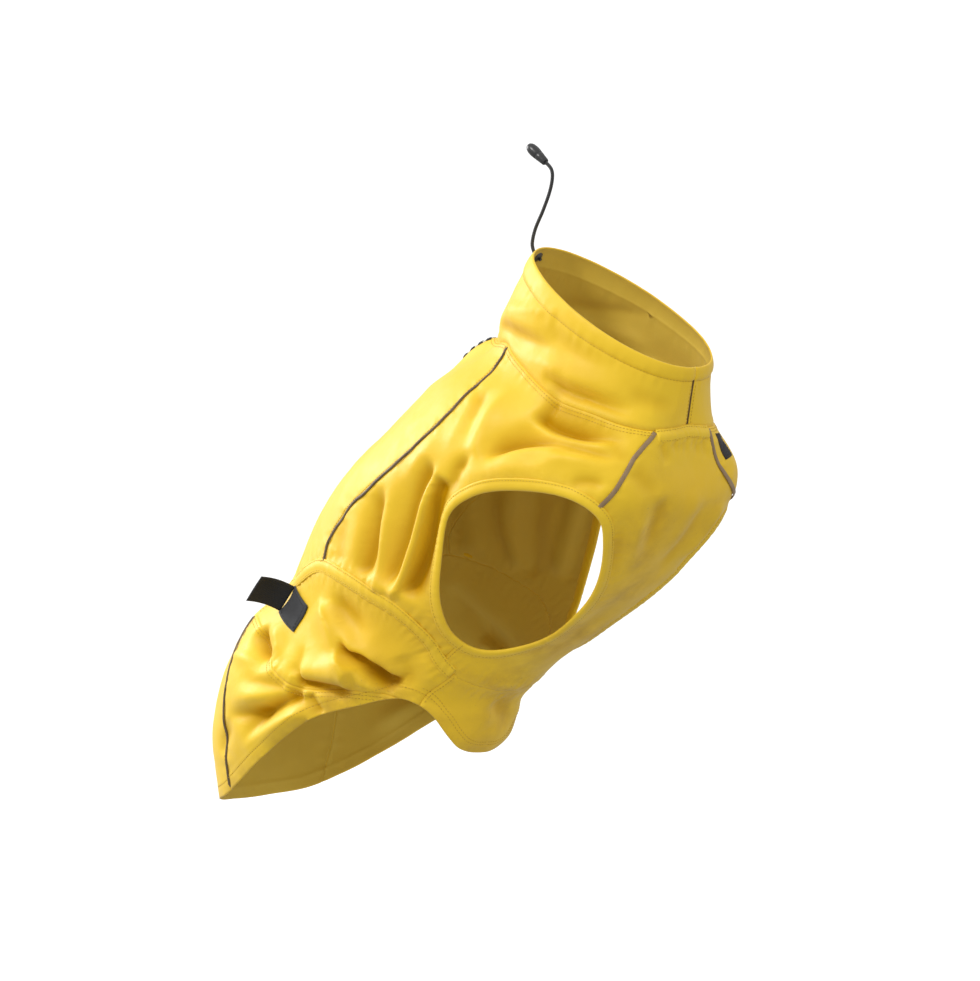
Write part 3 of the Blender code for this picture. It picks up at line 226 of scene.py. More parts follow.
# Creases laid on the panels: three places (t, v) from end to end, the
# height, the reach on the side to the right and to the left of the way it
# runs, its shape (2 is round, 1 is crisp), the shares of its length over which
# it grows and dies away, and how far its crest leans over to the right, if so.
# t0, v0, t1, v1, t2, v2, rise, right, left, shape, grow, fade, lean
CREASES = (
    # right side, above the waist
    (63.5, 0.295, 70.5, 0.362, 79.5, 0.475, -9, 9.5, 3.2, 1.3, 0.35, 0.1),
    (72, 0.32, 80.5, 0.412, 88, 0.494, 4.4, 3.6, 7, 1.3, 0.6, 0.05, 2),
    (74, 0.222, 80.5, 0.312, 91, 0.482, -10.5, 8.5, 3.4, 1.3, 0.22, 0.1),
    (77, 0.22, 85.2, 0.342, 95, 0.496, 6.8, 4.4, 3, 1.3, 0.45, 0.05, -2.8),
    (81, 0.244, 90.2, 0.348, 98.5, 0.486, -12, 3.6, 11, 1.7, 0.12, 0.1),
    (53, 0.36, 60, 0.415, 66, 0.472, -2.8, 9, 6, 1.6, 0.5, 0.2),
    (90.5, 0.186, 104, 0.124, 130, 0.088, -9, 3.4, 10, 1.3, 0.25, 0.5),
    (94, 0.188, 107, 0.14, 128, 0.112, 3.8, 9, 3.6, 1.3, 0.4, 0.5),
    (95, 0.056, 112, 0.068, 140, 0.046, -8.4, 3.4, 9, 1.3, 0.2, 0.4),
    (96.5, 0.082, 113, 0.087, 138, 0.072, 3.6, 8, 4, 1.3, 0.4, 0.5),
    (92, 0.016, 105, 0.027, 136, 0.012, -3.2, 5, 4.5, 1.4, 0.3, 0.5),
    (114, 0.128, 126, 0.104, 138, 0.106, -5.6, 3.6, 6, 1.3, 0.4, 0.4),
    (112, 0.17, 121, 0.13, 138, 0.122, 3.2, 7, 6, 1.4, 0.4, 0.5),
    (123, 0.192, 130.5, 0.169, 137, 0.176, -4.2, 4, 5, 1.4, 0.4, 0.4),
    (89.5, 0.268, 85, 0.222, 87.5, 0.18, -6.4, 5, 4.5, 1.3, 0.3, 0.4),
    (73.5, 0.03, 82.5, 0.128, 88, 0.222, 4.6, 7, 10, 1.4, 0.5, 0.3),
    (61.5, 0.066, 71.5, 0.117, 75.5, 0.2, 3.2, 7, 9, 1.4, 0.5, 0.4),
    (65, 0.064, 71.5, 0.095, 78.5, 0.17, -4.6, 6, 6, 1.4, 0.4, 0.4),
    (67, 0.175, 69, 0.225, 73, 0.29, 2.8, 7, 8, 1.5, 0.5, 0.4),
    (132, 0.05, 139, 0.088, 147, 0.1, -2.6, 6, 6, 1.4, 0.4, 0.5),
    (100, 0.01, 99, 0.045, 103, 0.085, -1.8, 5, 5, 1.5, 0.3, 0.6),
    # right side, below the waist
    (64, 0.548, 84, 0.604, 110, 0.704, 7.4, 20, 5, 1.2, 0.3, 0.06, -4),
    (71, 0.54, 84, 0.556, 100, 0.59, -5.6, 8, 10, 1.5, 0.3, 0.5),
    (94, 0.617, 103, 0.614, 126, 0.666, 6.6, 2.5, 13, 1.2, 0.05, 0.2, 4.6),
    (93.8, 0.628, 106, 0.64, 128, 0.704, -12.5, 5.5, 4.8, 1.8, 0.05, 0.25),
    (108, 0.64, 116.5, 0.66, 127, 0.692, -7, 7, 8, 1.6, 0.4, 0.15),
    (95.5, 0.65, 109, 0.68, 122, 0.722, 5.4, 8, 3.8, 1.3, 0.2, 0.2),
    (87, 0.714, 98, 0.709, 112, 0.711, 7.4, 2.5, 12, 1.2, 0.05, 0.12, 4.8),
    (87.5, 0.729, 98, 0.728, 114, 0.729, -11.5, 5.5, 5.4, 1.8, 0.06, 0.25),
    (49.5, 0.652, 57, 0.68, 68, 0.708, -9, 7, 5, 1.4, 0.12, 0.3),
    (55, 0.63, 66, 0.662, 75, 0.706, 4.6, 4.5, 8, 1.3, 0.4, 0.4),
    (42, 0.736, 51, 0.729, 67.5, 0.721, 3.4, 6, 5, 1.4, 0.3, 0.3),
    (70, 0.633, 72, 0.68, 74, 0.722, -2.8, 9, 8, 1.6, 0.4, 0.4),
    (80, 0.65, 84, 0.69, 86, 0.732, -3.2, 6, 8, 1.5, 0.4, 0.3),
    (94, 0.779, 81, 0.825, 67, 0.906, -10, 9.5, 4.2, 1.3, 0.08, 0.5),
    (96, 0.822, 82, 0.872, 66, 0.929, 5.4, 4, 7, 1.3, 0.1, 0.5),
    (99, 0.846, 88, 0.905, 76, 0.95, -4.6, 5, 5, 1.4, 0.08, 0.5),
    (79, 0.838, 67.5, 0.852, 54, 0.86, -6, 6.5, 5, 1.4, 0.3, 0.5),
    (87, 0.778, 76, 0.804, 55, 0.828, 5, 8, 7, 1.5, 0.15, 0.5),
    (95.5, 0.768, 99.5, 0.794, 104.5, 0.824, -6.4, 6.5, 2.8, 1.3, 0.12, 0.25),
    (84, 0.762, 72, 0.772, 56, 0.776, -4.4, 5, 6, 1.5, 0.1, 0.6),
    (60, 0.878, 52, 0.905, 47, 0.94, -3.4, 7, 6, 1.5, 0.4, 0.4),
    (114, 0.602, 122, 0.64, 133, 0.7, -3.6, 8, 7, 1.4, 0.3, 0.4),
    (122, 0.596, 130, 0.63, 140, 0.69, 2.8, 7, 7, 1.3, 0.3, 0.4),
    # chest and belly
    (157.5, 0.048, 161, 0.08, 163.5, 0.112, -2.3, 3.5, 4, 1.2, 0.1, 0.6),
    (165.5, 0.044, 168.5, 0.06, 173, 0.082, -2, 3.5, 4, 1.2, 0.1, 0.6),
    (174, 0.042, 176, 0.066, 176, 0.095, -1.7, 3.5, 3.5, 1.2, 0.1, 0.6),
    (-177, 0.042, -174, 0.068, -173, 0.1, -1.8, 3.5, 3.5, 1.2, 0.1, 0.6),
    (-169, 0.042, -167, 0.07, -168, 0.11, -2, 3.5, 4, 1.2, 0.1, 0.6),
    (144.5, 0.11, 152, 0.152, 161, 0.185, -2.9, 8, 8, 1.7, 0.3, 0.5),
    (163, 0.18, 164.5, 0.253, 169, 0.33, -4.2, 11, 9, 1.7, 0.3, 0.4),
    (154, 0.215, 158, 0.275, 168, 0.345, 3.1, 9, 10, 1.5, 0.4, 0.4),
    (147.5, 0.235, 152, 0.3, 163, 0.372, -3.1, 9, 8, 1.7, 0.4, 0.4),
    (-178, 0.165, -175.5, 0.245, -178, 0.33, 3.4, 12, 11, 1.7, 0.4, 0.4),
    (-169, 0.2, -171, 0.285, -173, 0.37, -3.4, 10, 9, 1.5, 0.3, 0.4),
    (-156, 0.205, -158.5, 0.27, -161, 0.34, 4.2, 8, 9, 1.2, 0.3, 0.3),
    (-148, 0.225, -152, 0.29, -158, 0.365, -3.4, 8, 8, 1.5, 0.3, 0.4),
    (172, 0.4, 176, 0.47, 176, 0.545, -2.3, 12, 12, 1.9, 0.4, 0.4),
    (166, 0.52, 181, 0.545, 194, 0.56, -2.1, 9, 9, 1.8, 0.4, 0.4),
    (158, 0.64, 176, 0.646, 192, 0.642, 2.9, 8, 8, 1.4, 0.3, 0.3),
    (176, 0.705, 186, 0.77, 200, 0.838, -3.4, 9, 9, 1.4, 0.2, 0.4),
    (166, 0.7, 172, 0.775, 176, 0.86, 2.3, 10, 9, 1.7, 0.3, 0.4),
    (-166, 0.7, -160, 0.755, -156, 0.82, 2.3, 9, 9, 1.5, 0.3, 0.4),
    # left side, above the waist
    (-60, 0.305, -70, 0.395, -84, 0.485, -4.3, 6, 9, 1.4, 0.3, 0.2),
    (-68, 0.29, -77, 0.385, -90, 0.49, 5.2, 5, 7, 1.2, 0.5, 0.1),
    (-80, 0.262, -88, 0.36, -99, 0.475, -6.4, 6, 8, 1.2, 0.2, 0.2),
    (-88, 0.3, -94, 0.38, -103, 0.48, 4.3, 5, 6, 1.2, 0.5, 0.1),
    (-47, 0.35, -56, 0.41, -64, 0.478, -3.2, 8, 8, 1.8, 0.4, 0.2),
    (-94, 0.178, -106, 0.13, -134, 0.078, -4.6, 10, 6, 1.2, 0.3, 0.5),
    (-98, 0.224, -114, 0.166, -135, 0.124, 3.8, 8, 9, 1.4, 0.4, 0.5),
    (-90, 0.058, -108, 0.076, -136, 0.052, -3.8, 9, 5, 1.2, 0.3, 0.5),
    (-68, 0.06, -75, 0.15, -80, 0.24, 3.2, 11, 9, 1.4, 0.5, 0.3),
    (-73, 0.13, -74, 0.2, -78, 0.262, -3.2, 8, 7, 1.5, 0.4, 0.3),
    # left side, below the waist
    (-62, 0.54, -86, 0.606, -108, 0.69, 4.6, 9, 15, 1.2, 0.3, 0.2),
    (-90, 0.622, -105, 0.64, -126, 0.682, 4.9, 12, 4, 1.2, 0.15, 0.5, -2.6),
    (-93, 0.646, -107, 0.664, -125, 0.706, -5.8, 5, 5.5, 1.2, 0.15, 0.5),
    (-78, 0.7, -92, 0.712, -106, 0.716, 4.3, 12, 4, 1.2, 0.2, 0.5, -2),
    (-50, 0.655, -63, 0.69, -73, 0.735, -4.6, 7, 6, 1.3, 0.2, 0.4),
    (-96, 0.772, -84, 0.84, -64, 0.905, -4.6, 7, 10, 1.4, 0.1, 0.6),
    (-95, 0.8, -88, 0.87, -76, 0.928, -3.2, 7, 6, 1.4, 0.1, 0.6),
    (-80, 0.765, -68, 0.795, -56, 0.82, -2.6, 9, 10, 1.8, 0.1, 0.6),
    (-116, 0.606, -124, 0.65, -136, 0.706, -3.2, 8, 9, 1.4, 0.3, 0.4),
    # back and rump
    (-6, 0.07, 4, 0.15, 8, 0.24, 2.3, 18, 18, 1.9, 0.5, 0.5),
    (22, 0.13, 26, 0.25, 24, 0.38, -2, 16, 15, 1.9, 0.5, 0.5),
    (-30, 0.1, -26, 0.24, -30, 0.36, -2.2, 15, 16, 1.9, 0.5, 0.5),
    (10, 0.5, 6, 0.545, 4, 0.585, -2.3, 7, 7, 1.4, 0.5, 0.1),
    (-14, 0.49, -13, 0.54, -10, 0.582, -2.6, 8, 7, 1.4, 0.5, 0.1),
    (30, 0.47, 31, 0.515, 33, 0.552, -2.3, 7, 7, 1.4, 0.5, 0.1),
    (-34, 0.46, -36, 0.51, -37, 0.545, -2.6, 7, 7, 1.4, 0.5, 0.1),
    (5, 0.625, 8, 0.69, 16, 0.77, -3.2, 9, 9, 1.5, 0.1, 0.5),
    (-14, 0.625, -22, 0.7, -30, 0.79, -3.5, 10, 9, 1.5, 0.1, 0.5),
    (-4, 0.7, -2, 0.8, -8, 0.9, 2.3, 16, 16, 1.9, 0.4, 0.5),
    (28, 0.72, 34, 0.8, 36, 0.89, -2.3, 12, 12, 1.8, 0.4, 0.5),
)
# Creases of the collar, the same columns in (t, h).
COLLAR_CREASES = (
    (30, 0.42, 52, 0.58, 84, 0.9, 3.6, 7, 7, 1.2, 0.4, 0.3),
    (22, 0.16, 50, 0.3, 88, 0.52, -3.9, 6, 7, 1.2, 0.3, 0.4),
    (78, 0.3, 104, 0.3, 140, 0.36, 3.9, 7, 12, 1.2, 0.4, 0.5),
    (86, 0.13, 108, 0.14, 140, 0.24, -4.5, 6, 5, 1.2, 0.3, 0.5),
    (128, 0.55, 148, 0.45, 168, 0.4, -2.7, 8, 8, 1.5, 0.4, 0.4),
    (60, 0.72, 96, 0.66, 130, 0.74, -2.4, 8, 8, 1.7, 0.4, 0.5),
    (-30, 0.4, -56, 0.54, -88, 0.84, 3.3, 7, 7, 1.2, 0.4, 0.3),
    (-26, 0.18, -54, 0.28, -90, 0.5, -3.6, 7, 6, 1.3, 0.3, 0.4),
    (-84, 0.16, -112, 0.15, -146, 0.28, -4.2, 5, 6, 1.2, 0.3, 0.5),
    (-80, 0.34, -110, 0.34, -142, 0.42, 3.3, 10, 7, 1.2, 0.4, 0.5),
    (-8, 0.15, -4, 0.4, 4, 0.62, -2.4, 9, 9, 1.7, 0.4, 0.5),
)


# ---- curves and surfaces ----

def spline(xs, ys, x):
    """Smooth curve through (xs, ys), read at x."""
    xs, ys, x = np.asarray(xs, float), np.asarray(ys, float), np.asarray(x, float)
    step, rise = np.diff(xs), np.diff(ys) / np.diff(xs)
    slope = np.empty_like(ys)
    slope[1:-1] = (rise[:-1] * step[1:] + rise[1:] * step[:-1]) / (xs[2:] - xs[:-2])
    slope[0] = 1.5 * rise[0] - 0.5 * slope[1]
    slope[-1] = 1.5 * rise[-1] - 0.5 * slope[-2]
    i = np.clip(np.searchsorted(xs, x) - 1, 0, len(xs) - 2)
    h = step[i]
    s = (x - xs[i]) / h
    return ((2 * s ** 3 - 3 * s ** 2 + 1) * ys[i] + (s ** 3 - 2 * s ** 2 + s) * h * slope[i]
            + (3 * s ** 2 - 2 * s ** 3) * ys[i + 1] + (s ** 3 - s ** 2) * h * slope[i + 1])


def run_along(points):
    """Length along a line up to each of its points."""
    return np.concatenate([[0], np.cumsum(np.linalg.norm(np.diff(points, axis=0), axis=1))])


def unit(v):
    return v / np.linalg.norm(v, axis=-1, keepdims=True)


def round_line(table, t):
    """v of a line that runs round the coat, the same on both sides."""
    folded = np.abs((np.asarray(t, float) + 180.0) % 360.0 - 180.0)
    return spline(*zip(*table), folded)


def section(table, a, t):
    """Points of the plain egg-shaped sections at a, in the coat's frame."""
    cols = list(zip(*table))
    back_f, back_z, front_f, front_z, wide, egg, box = (spline(cols[0], c, a) for c in cols[1:])
    c, s = np.cos(np.radians(t)), np.sin(np.radians(t))
    power = 2 / (1 - box * (1 - c) / 2)
    grow = (np.abs(s) ** power + np.abs(c) ** power) ** (-1 / power)
    c, s = c * grow, s * grow
    mid_f, mid_z = (back_f + front_f) / 2, (back_z + front_z) / 2
    return np.stack([-wide * s * (1 - egg * c), -(mid_f + (back_f - mid_f) * c),
                     mid_z + (back_z - mid_z) * c], -1)


def body_base(t, v):
    return section(BODY, v, t)


def collar_base(t, h):
    """The collar starts exactly on the collar seam of the body."""
    seam = body_base(t, round_line(COLLAR_SEAM, t)) - section(COLLAR, np.zeros_like(t), t)
    return section(COLLAR, h, t) + seam * ((1 - h) ** 2)[..., None]


def normals(surface, t, a, dt=0.05, da=1e-4):
    """Outward unit normals of a surface of (t, a)."""
    along = surface(t, a + da) - surface(t, a - da)
    around = surface(t + dt, a) - surface(t - dt, a)
    if surface in (collar_base, collar_skin, plain_collar):      # v runs down and h runs up
        along = -along
    return unit(np.cross(along, around))


def row_curve(row, count):
    """Places (t, a) along a fold or a crease."""
    s = np.linspace(0, 1, count)
    return [spline((0, 0.5, 1), row[i:6:2], s) for i in (0, 1)]


@lru_cache(maxsize=None)
def centre_line(base, row, count):
    """Points along a fold, worked out once for each."""
    return base(*row_curve(row, count))


def near_rows(base, rows, t, a, count, reaches):
    """Each row that has places near it, with their mask and normals, their
    distance, the way across, whether they lie to its right, and their share
    of its length."""
    at, up = base(t, a), normals(base, t, a)
    for row in rows:
        line = centre_line(base, row, count)
        reach = reaches * max(row[7:9])
        near = np.all((at > line.min(0) - reach) & (at < line.max(0) + reach), axis=1)
        if not near.any():
            continue
        p, n = at[near], up[near]
        way = np.diff(line, axis=0)
        gap = p[:, None] - line[:-1]
        share = np.clip((gap * way).sum(-1) / (way ** 2).sum(-1), 0, 1)
        off = gap - share[..., None] * way
        far = np.linalg.norm(off, axis=-1)
        pick, best = np.arange(len(p)), far.argmin(1)
        across = unit(np.cross(way[best], n))
        right = (across * off[pick, best]).sum(-1) > 0
        place = (best + share[pick, best]) / len(way)
        yield row, near, n, far[pick, best], across, right, place


def relief(base, rows, t, a):
    """Height of the main folds at (t, a)."""
    height = np.zeros(len(t))
    for row, near, _, far, _, right, place in near_rows(base, rows, t, a, 13, FOLD_REACH):
        rise, side_a, side_b = row[6:]
        taper = np.sin(np.pi * np.clip(place, 0, 1)) ** 0.8
        height[near] += rise * np.exp(-(far / np.where(right, side_a, side_b)) ** 2) * taper
    return height


def crease_shift(base, rows, t, a):
    """Shift of the cloth at (t, a) from its creases."""
    shift = np.zeros((len(t), 3))
    for row, near, n, far, across, right, place in near_rows(base, rows, t, a, 41, CREASE_REACH):
        rise, side_a, side_b, shape, grow, fade, lean = (*row[6:], 0.0)[:7]
        far = np.sqrt(far ** 2 + CREST ** 2) - CREST
        size = np.exp(-(far / np.where(right, side_a, side_b)) ** shape)
        ends = np.clip(place / max(grow, 0.02), 0, 1) * np.clip((1 - place) / max(fade, 0.02), 0, 1)
        size *= np.sin(np.pi / 2 * ends) ** 1.2
        shift[near] += n * (rise * size)[:, None] + across * (lean * size)[:, None]
    return shift


def skin(t, v, creases=CREASES):
    """Middle of the cloth of the body with its folds and creases."""
    rise = relief(body_base, FOLDS, t, v)[:, None]
    return (body_base(t, v) + normals(body_base, t, v) * rise
            + crease_shift(body_base, creases, t, v))


def collar_skin(t, h, creases=COLLAR_CREASES, body_creases=CREASES):
    """Middle of the cloth of the collar; its folds die out at the seam."""
    seam_v = round_line(COLLAR_SEAM, t)
    start = skin(t, seam_v, body_creases) - body_base(t, seam_v)
    rise = relief(collar_base, COLLAR_FOLDS, t, h)[:, None]
    shift = normals(collar_base, t, h) * rise + crease_shift(collar_base, creases, t, h)
    fade = np.clip(h / COLLAR_FADE, 0, 1)[:, None]
    return collar_base(t, h) + shift * fade + start * (1 - np.clip(h, 0, 1))[:, None] ** 2


def plain_body(t, v):
    """The body without its creases, as the model has it."""
    return skin(t, v, ())


def plain_collar(t, h):
    return collar_skin(t, h, (), ())


def skin_normals(surface, t, a):
    """Normals of the creased cloth, evened out a little."""
    return normals(surface, t, a, 0.25, 8e-4 if surface is skin else 4e-3)


# ---- pattern lines ----

def resample(points, step=FINE, scale=SCALE):
    """Points spread evenly, at most a step apart, along a line of (t, a)."""
    points = np.asarray(points, float)
    s = run_along(points * scale)
    count = max(2, int(math.ceil(s[-1] / step)) + 1)
    at = np.linspace(0, s[-1], count)
    return np.stack([np.interp(at, s, points[:, 0]), np.interp(at, s, points[:, 1])], 1)


def smooth_line(table, step=FINE):
    """A smooth line through the rows of a table, resampled."""
    table = np.asarray(table, float)
    s = run_along(table * SCALE)
    fine = np.linspace(0, s[-1], 400)
    line = np.stack([spline(s, table[:, 0], fine), spline(s, table[:, 1], fine)], 1)
    line[0], line[-1] = table[0], table[-1]
    return resample(line, step)


def ring_part(table, t0, t1):
    """Part of a line round the coat, from t0 to t1."""
    t = np.linspace(t0, t1, 120)
    return resample(np.stack([t, round_line(table, t)], 1))


def offset_line(line, far, base=body_base):
    """The line moved sideways on the coat by far mm."""
    t, a = line[:, 0], line[:, 1]
    dt, da = 0.05, 1e-4
    across = (base(t + dt, a) - base(t - dt, a)) / (2 * dt)
    along = (base(t, a + da) - base(t, a - da)) / (2 * da)
    step = np.gradient(line, axis=0)
    side = np.cross(normals(base, t, a), across * step[:, :1] + along * step[:, 1:])
    side *= (far / np.linalg.norm(side, axis=1))[:, None]
    g11, g12, g22 = (across ** 2).sum(1), (across * along).sum(1), (along ** 2).sum(1)
    b1, b2 = (side * across).sum(1), (side * along).sum(1)
    det = g11 * g22 - g12 ** 2
    return line + np.stack([(g22 * b1 - g12 * b2) / det, (g11 * b2 - g12 * b1) / det], 1)


def closed(ring):
    return np.concatenate([ring, ring[:1]])


def offset_ring(ring, far):
    """A closed ring moved sideways."""
    return offset_line(np.concatenate([ring[-2:], ring, ring[:2]]), far)[2:-2]


def area(outline):
    x, y = outline[:, 0], outline[:, 1]
    return abs(np.sum(x * np.roll(y, -1) - y * np.roll(x, -1))) / 2


def toward(line, far, sign):
    """The line moved sideways, to larger v where sign is 1."""
    return max((offset_line(line, far), offset_line(line, -far)),
               key=lambda m: m[:, 1].sum() * sign)


def outward(ring):
    """The ring in the sense that offset_line moves outwards."""
    return ring if area(offset_ring(ring, 3.0)) > area(ring) else ring[::-1]


def downward(line):
    """The line in the sense that offset_line moves to larger v."""
    return line if (offset_line(line, 3.0) - line)[:, 1].sum() > 0 else line[::-1]


def inside(points, polygon):
    """True for the points inside a closed polygon."""
    order = np.argsort(points[:, 1])
    x, y = points[order].T
    odd = np.zeros(len(x), bool)
    for (x0, y0), (x1, y1) in zip(polygon, np.roll(polygon, -1, 0)):
        low, high = np.searchsorted(y, sorted((y0, y1)))
        if high > low:
            part = slice(low, high)
            odd[part] ^= x[part] < x0 + (y[part] - y0) * (x1 - x0) / (y1 - y0)
    found = np.zeros(len(x), bool)
    found[order] = odd
    return found


def spaced(groups):
    """The points of each group that keep its gap to all points before them."""
    cell, cells, kept = 3.0, {}, []
    for points, gap in groups:
        chosen = []
        for x, y in points.tolist():
            i, j = int(x // cell), int(y // cell)
            if gap and any((x - a) ** 2 + (y - b) ** 2 < gap * gap
                           for m in (i - 1, i, i + 1) for n in (j - 1, j, j + 1)
                           for a, b in cells.get((m, n), ())):
                continue
            cells.setdefault((i, j), []).append((x, y))
            chosen.append((x, y))
        kept.append(chosen)
    return kept


def clear_of(points, outline, holes):
    """True for the points inside an outline and outside its holes."""
    found = inside(points, outline)
    for hole in holes:
        found &= ~inside(points, hole)
    return found


def triangulate(outline, holes, lines, scale, beside=()):
    """Triangles over a closed outline that keep to all the given lines, with
    ordered points beside the creases. Returns places (t, a) and faces."""
    loops, open_lines = [r * scale for r in (outline, *holes)], [r * scale for r in lines]
    (x0, y0), (x1, y1) = loops[0].min(0), loops[0].max(0)
    row = FINE * 0.866                  # between the rows of a grid of even triangles
    grid = []
    for r in range(int((y1 - y0) / row) + 2):
        x = np.arange(x0 + (0.25 if r % 2 else 0.75) * FINE, x1, FINE)
        grid.append(np.stack([x, np.full(len(x), y0 + (r + 0.5) * row)], 1))
    groups = [(l, 0.0) for l in open_lines] + [((l[1:] + l[:-1]) / 2, 0.0) for l in open_lines]
    groups += [(l, 0.0) for l in loops] + [((l + np.roll(l, 1, 0)) / 2, 0.0) for l in loops]
    fixed = len(groups)
    spare = [(b * scale, BESIDE_GAP) for b in beside] + [(np.concatenate(grid), 0.6 * FINE)]
    for near, gap in spare:
        groups.append((near[clear_of(near, loops[0], loops[1:])], gap))
    points, edges = [], []
    for k, line in enumerate(loops + open_lines):
        start = len(points)
        points.extend(line)
        edges += [(i, i + 1) for i in range(start, len(points) - 1)]
        if k < len(loops):
            edges.append((len(points) - 1, start))
    points += sum(spaced(groups)[fixed:], [])
    out = delaunay_2d_cdt([Vector((float(x), float(y))) for x, y in points], edges, [], 0, 0.02)
    xy, faces = np.array([tuple(p) for p in out[0]]), np.array(out[2])
    a, b, c = (xy[faces[:, i]] for i in range(3))
    size = (b[:, 0] - a[:, 0]) * (c[:, 1] - a[:, 1]) - (b[:, 1] - a[:, 1]) * (c[:, 0] - a[:, 0])
    keep = clear_of(xy[faces].mean(1), loops[0], loops[1:]) & (np.abs(size) > 1e-4)
    return xy / scale, faces[keep]


def seam_lines(side):
    """The seam lines of one side, drawn on the right, each made once for all
    its pieces."""
    lines = {
        "back": smooth_line(BACK_SEAM), "chest": smooth_line(CHEST_SEAMS[side]),
        "rump_top": smooth_line(RUMP_SEAM[:3]), "rump": smooth_line(RUMP_SEAM[2:]),
        "arm_front": smooth_line(ARM_FRONT, FINE * 0.8),
        "arm_rear": smooth_line(ARM_REAR, FINE * 0.8),
    }
    for name, table, split in (("neck", COLLAR_SEAM, NECK_SPLIT[side]),
                               ("waist", WAIST_SEAM, WAIST_SPLIT), ("hem", HEM, HEM_SPLIT)):
        stops = (0,) + split + (180,)
        for i, (t0, t1) in enumerate(zip(stops[:-1], stops[1:])):
            lines["%s_%d" % (name, i)] = ring_part(table, t0, t1)
    lines["back"][0], lines["back"][-1] = lines["neck_0"][-1], lines["waist_1"][-1]
    lines["chest"][0], lines["chest"][-1] = lines["neck_1"][-1], lines["arm_front"][0]
    lines["rump_top"][0] = lines["waist_0"][-1]
    lines["rump"][0], lines["rump"][-1] = lines["rump_top"][-1], lines["hem_0"][-1]
    t = np.linspace(HIP_SEAM[0][0], HIP_SEAM[-1][0], 90)
    hip = np.stack([t, spline(*zip(*HIP_SEAM), t)], 1)
    hip[0], hip[-1] = lines["rump"][0], lines["hem_1"][-1]
    lines["hip"] = resample(hip)
    lines["underarm"] = resample([lines["arm_rear"][0], lines["waist_2"][-1]])
    lines["belly"] = resample([lines["waist_3"][-1], lines["hem_2"][-1]])
    return lines


R = seam_lines("right")
LEFT = {k: line * (-1, 1) for k, line in seam_lines("left").items()}
BOTH = (R, LEFT)
FAR = {k: line + (360, 0) for k, line in LEFT.items()}           # left side past 180


def chain(*parts):
    """One closed outline from lines laid end to end; "-" runs one backwards."""
    out = []
    for lines, names in parts:
        for name in names.split():
            line = lines[name.lstrip("-")]
            out.append(line[::-1][:-1] if name.startswith("-") else line[:-1])
    return np.concatenate(out)


def joined(*parts):
    """The same as an open line, whose last part runs forwards."""
    lines, names = parts[-1]
    return np.concatenate([chain(*parts), lines[names.split()[-1]][-1:]])


PANELS = {
    "back_panel": chain((LEFT, "-neck_0"), (R, "neck_0 back -waist_1 -waist_0"),
                        (LEFT, "waist_0 waist_1 -back")),
    "chest_panel": chain((R, "neck_2"), (FAR, "-neck_2 chest arm_front underarm waist_3 waist_4"),
                         (R, "-waist_4 -waist_3 -underarm -arm_front -chest")),
    "rump_panel": chain((LEFT, "-waist_0"), (R, "waist_0 rump_top rump -hem_0"),
                        (LEFT, "hem_0 -rump -rump_top")),
    "belly_flap": chain((R, "waist_4"), (FAR, "-waist_4 belly hem_3"), (R, "-hem_3 -belly")),
}
for side, lines in zip(SIDES, BOTH):
    for part, names in (("side", "neck_1 chest -arm_rear underarm -waist_2 -back"),
                        ("hip", "waist_1 waist_2 waist_3 belly -hem_2 -hip -rump_top"),
                        ("thigh", "rump hem_1 -hip")):
        PANELS["%s_panel_%s" % (part, side)] = chain((lines, names))
ARM_RINGS = [chain((lines, "arm_front arm_rear")) for lines in BOTH]
NECK = joined((LEFT, "-neck_2 -neck_1 -neck_0"), (R, "neck_0 neck_1 neck_2"))
HEMS = [joined((lines, "hem_0 hem_1 hem_2 hem_3")) for lines in BOTH]
WAISTS = [joined((lines, "waist_0 waist_1 waist_2 waist_3 waist_4")) for lines in BOTH]
CHEST_TOP = ring_part(COLLAR_SEAM, NECK_SPLIT["right"][1], 360 - NECK_SPLIT["left"][1])
SEAMS = [lines[k] for lines in BOTH for k in ("back", "chest", "rump_top", "rump", "hip",
                                              "underarm", "belly")]


# ---- fine cloth ----

def uneven(points, size, depth):
    """Soft unevenness of the cloth, the same on each run."""
    return np.array([noise.noise(Vector(p) / size) for p in points]) * depth


def kd_tree(points):
    tree = KDTree(len(points))
    for i, p in enumerate(points):
        tree.insert(p, i)
    tree.balance()
    return tree


def tree_of(lines):
    """Search tree over lines of (t, v), with the run along them in mm."""
    lines = [body_base(*resample(line, 1.0).T) for line in lines]
    return kd_tree(np.concatenate(lines)), np.concatenate([run_along(p) for p in lines])


def distance(tree_runs, points):
    """Distance of points to the lines, and the run along them there."""
    tree, runs = tree_runs
    found = [tree.find(p)[1:] for p in points]
    return np.array([f[1] for f in found]), runs[[f[0] for f in found]]


def wave(run, size):
    """An uneven ripple along a gathered edge, from -1 to 1."""
    return (np.sin(2 * np.pi * run / size) + 0.7 * np.sin(2 * np.pi * run / (size * 1.43) + 1.1)
            + 0.5 * np.sin(2 * np.pi * run / (size * 0.67) + 2.3)) / 2.2


def dip(d, at, wide):
    return np.exp(-((d - at) / wide) ** 2)


def face_normals(points, faces):
    """Normals at the points of a mesh of triangles."""
    a, b, c = (points[faces[:, i]] for i in range(3))
    n = np.cross(b - a, c - a)
    out = np.zeros_like(points)
    for i in range(3):
        np.add.at(out, faces[:, i], n)
    return out / np.maximum(np.linalg.norm(out, axis=1, keepdims=True), 1e-9)


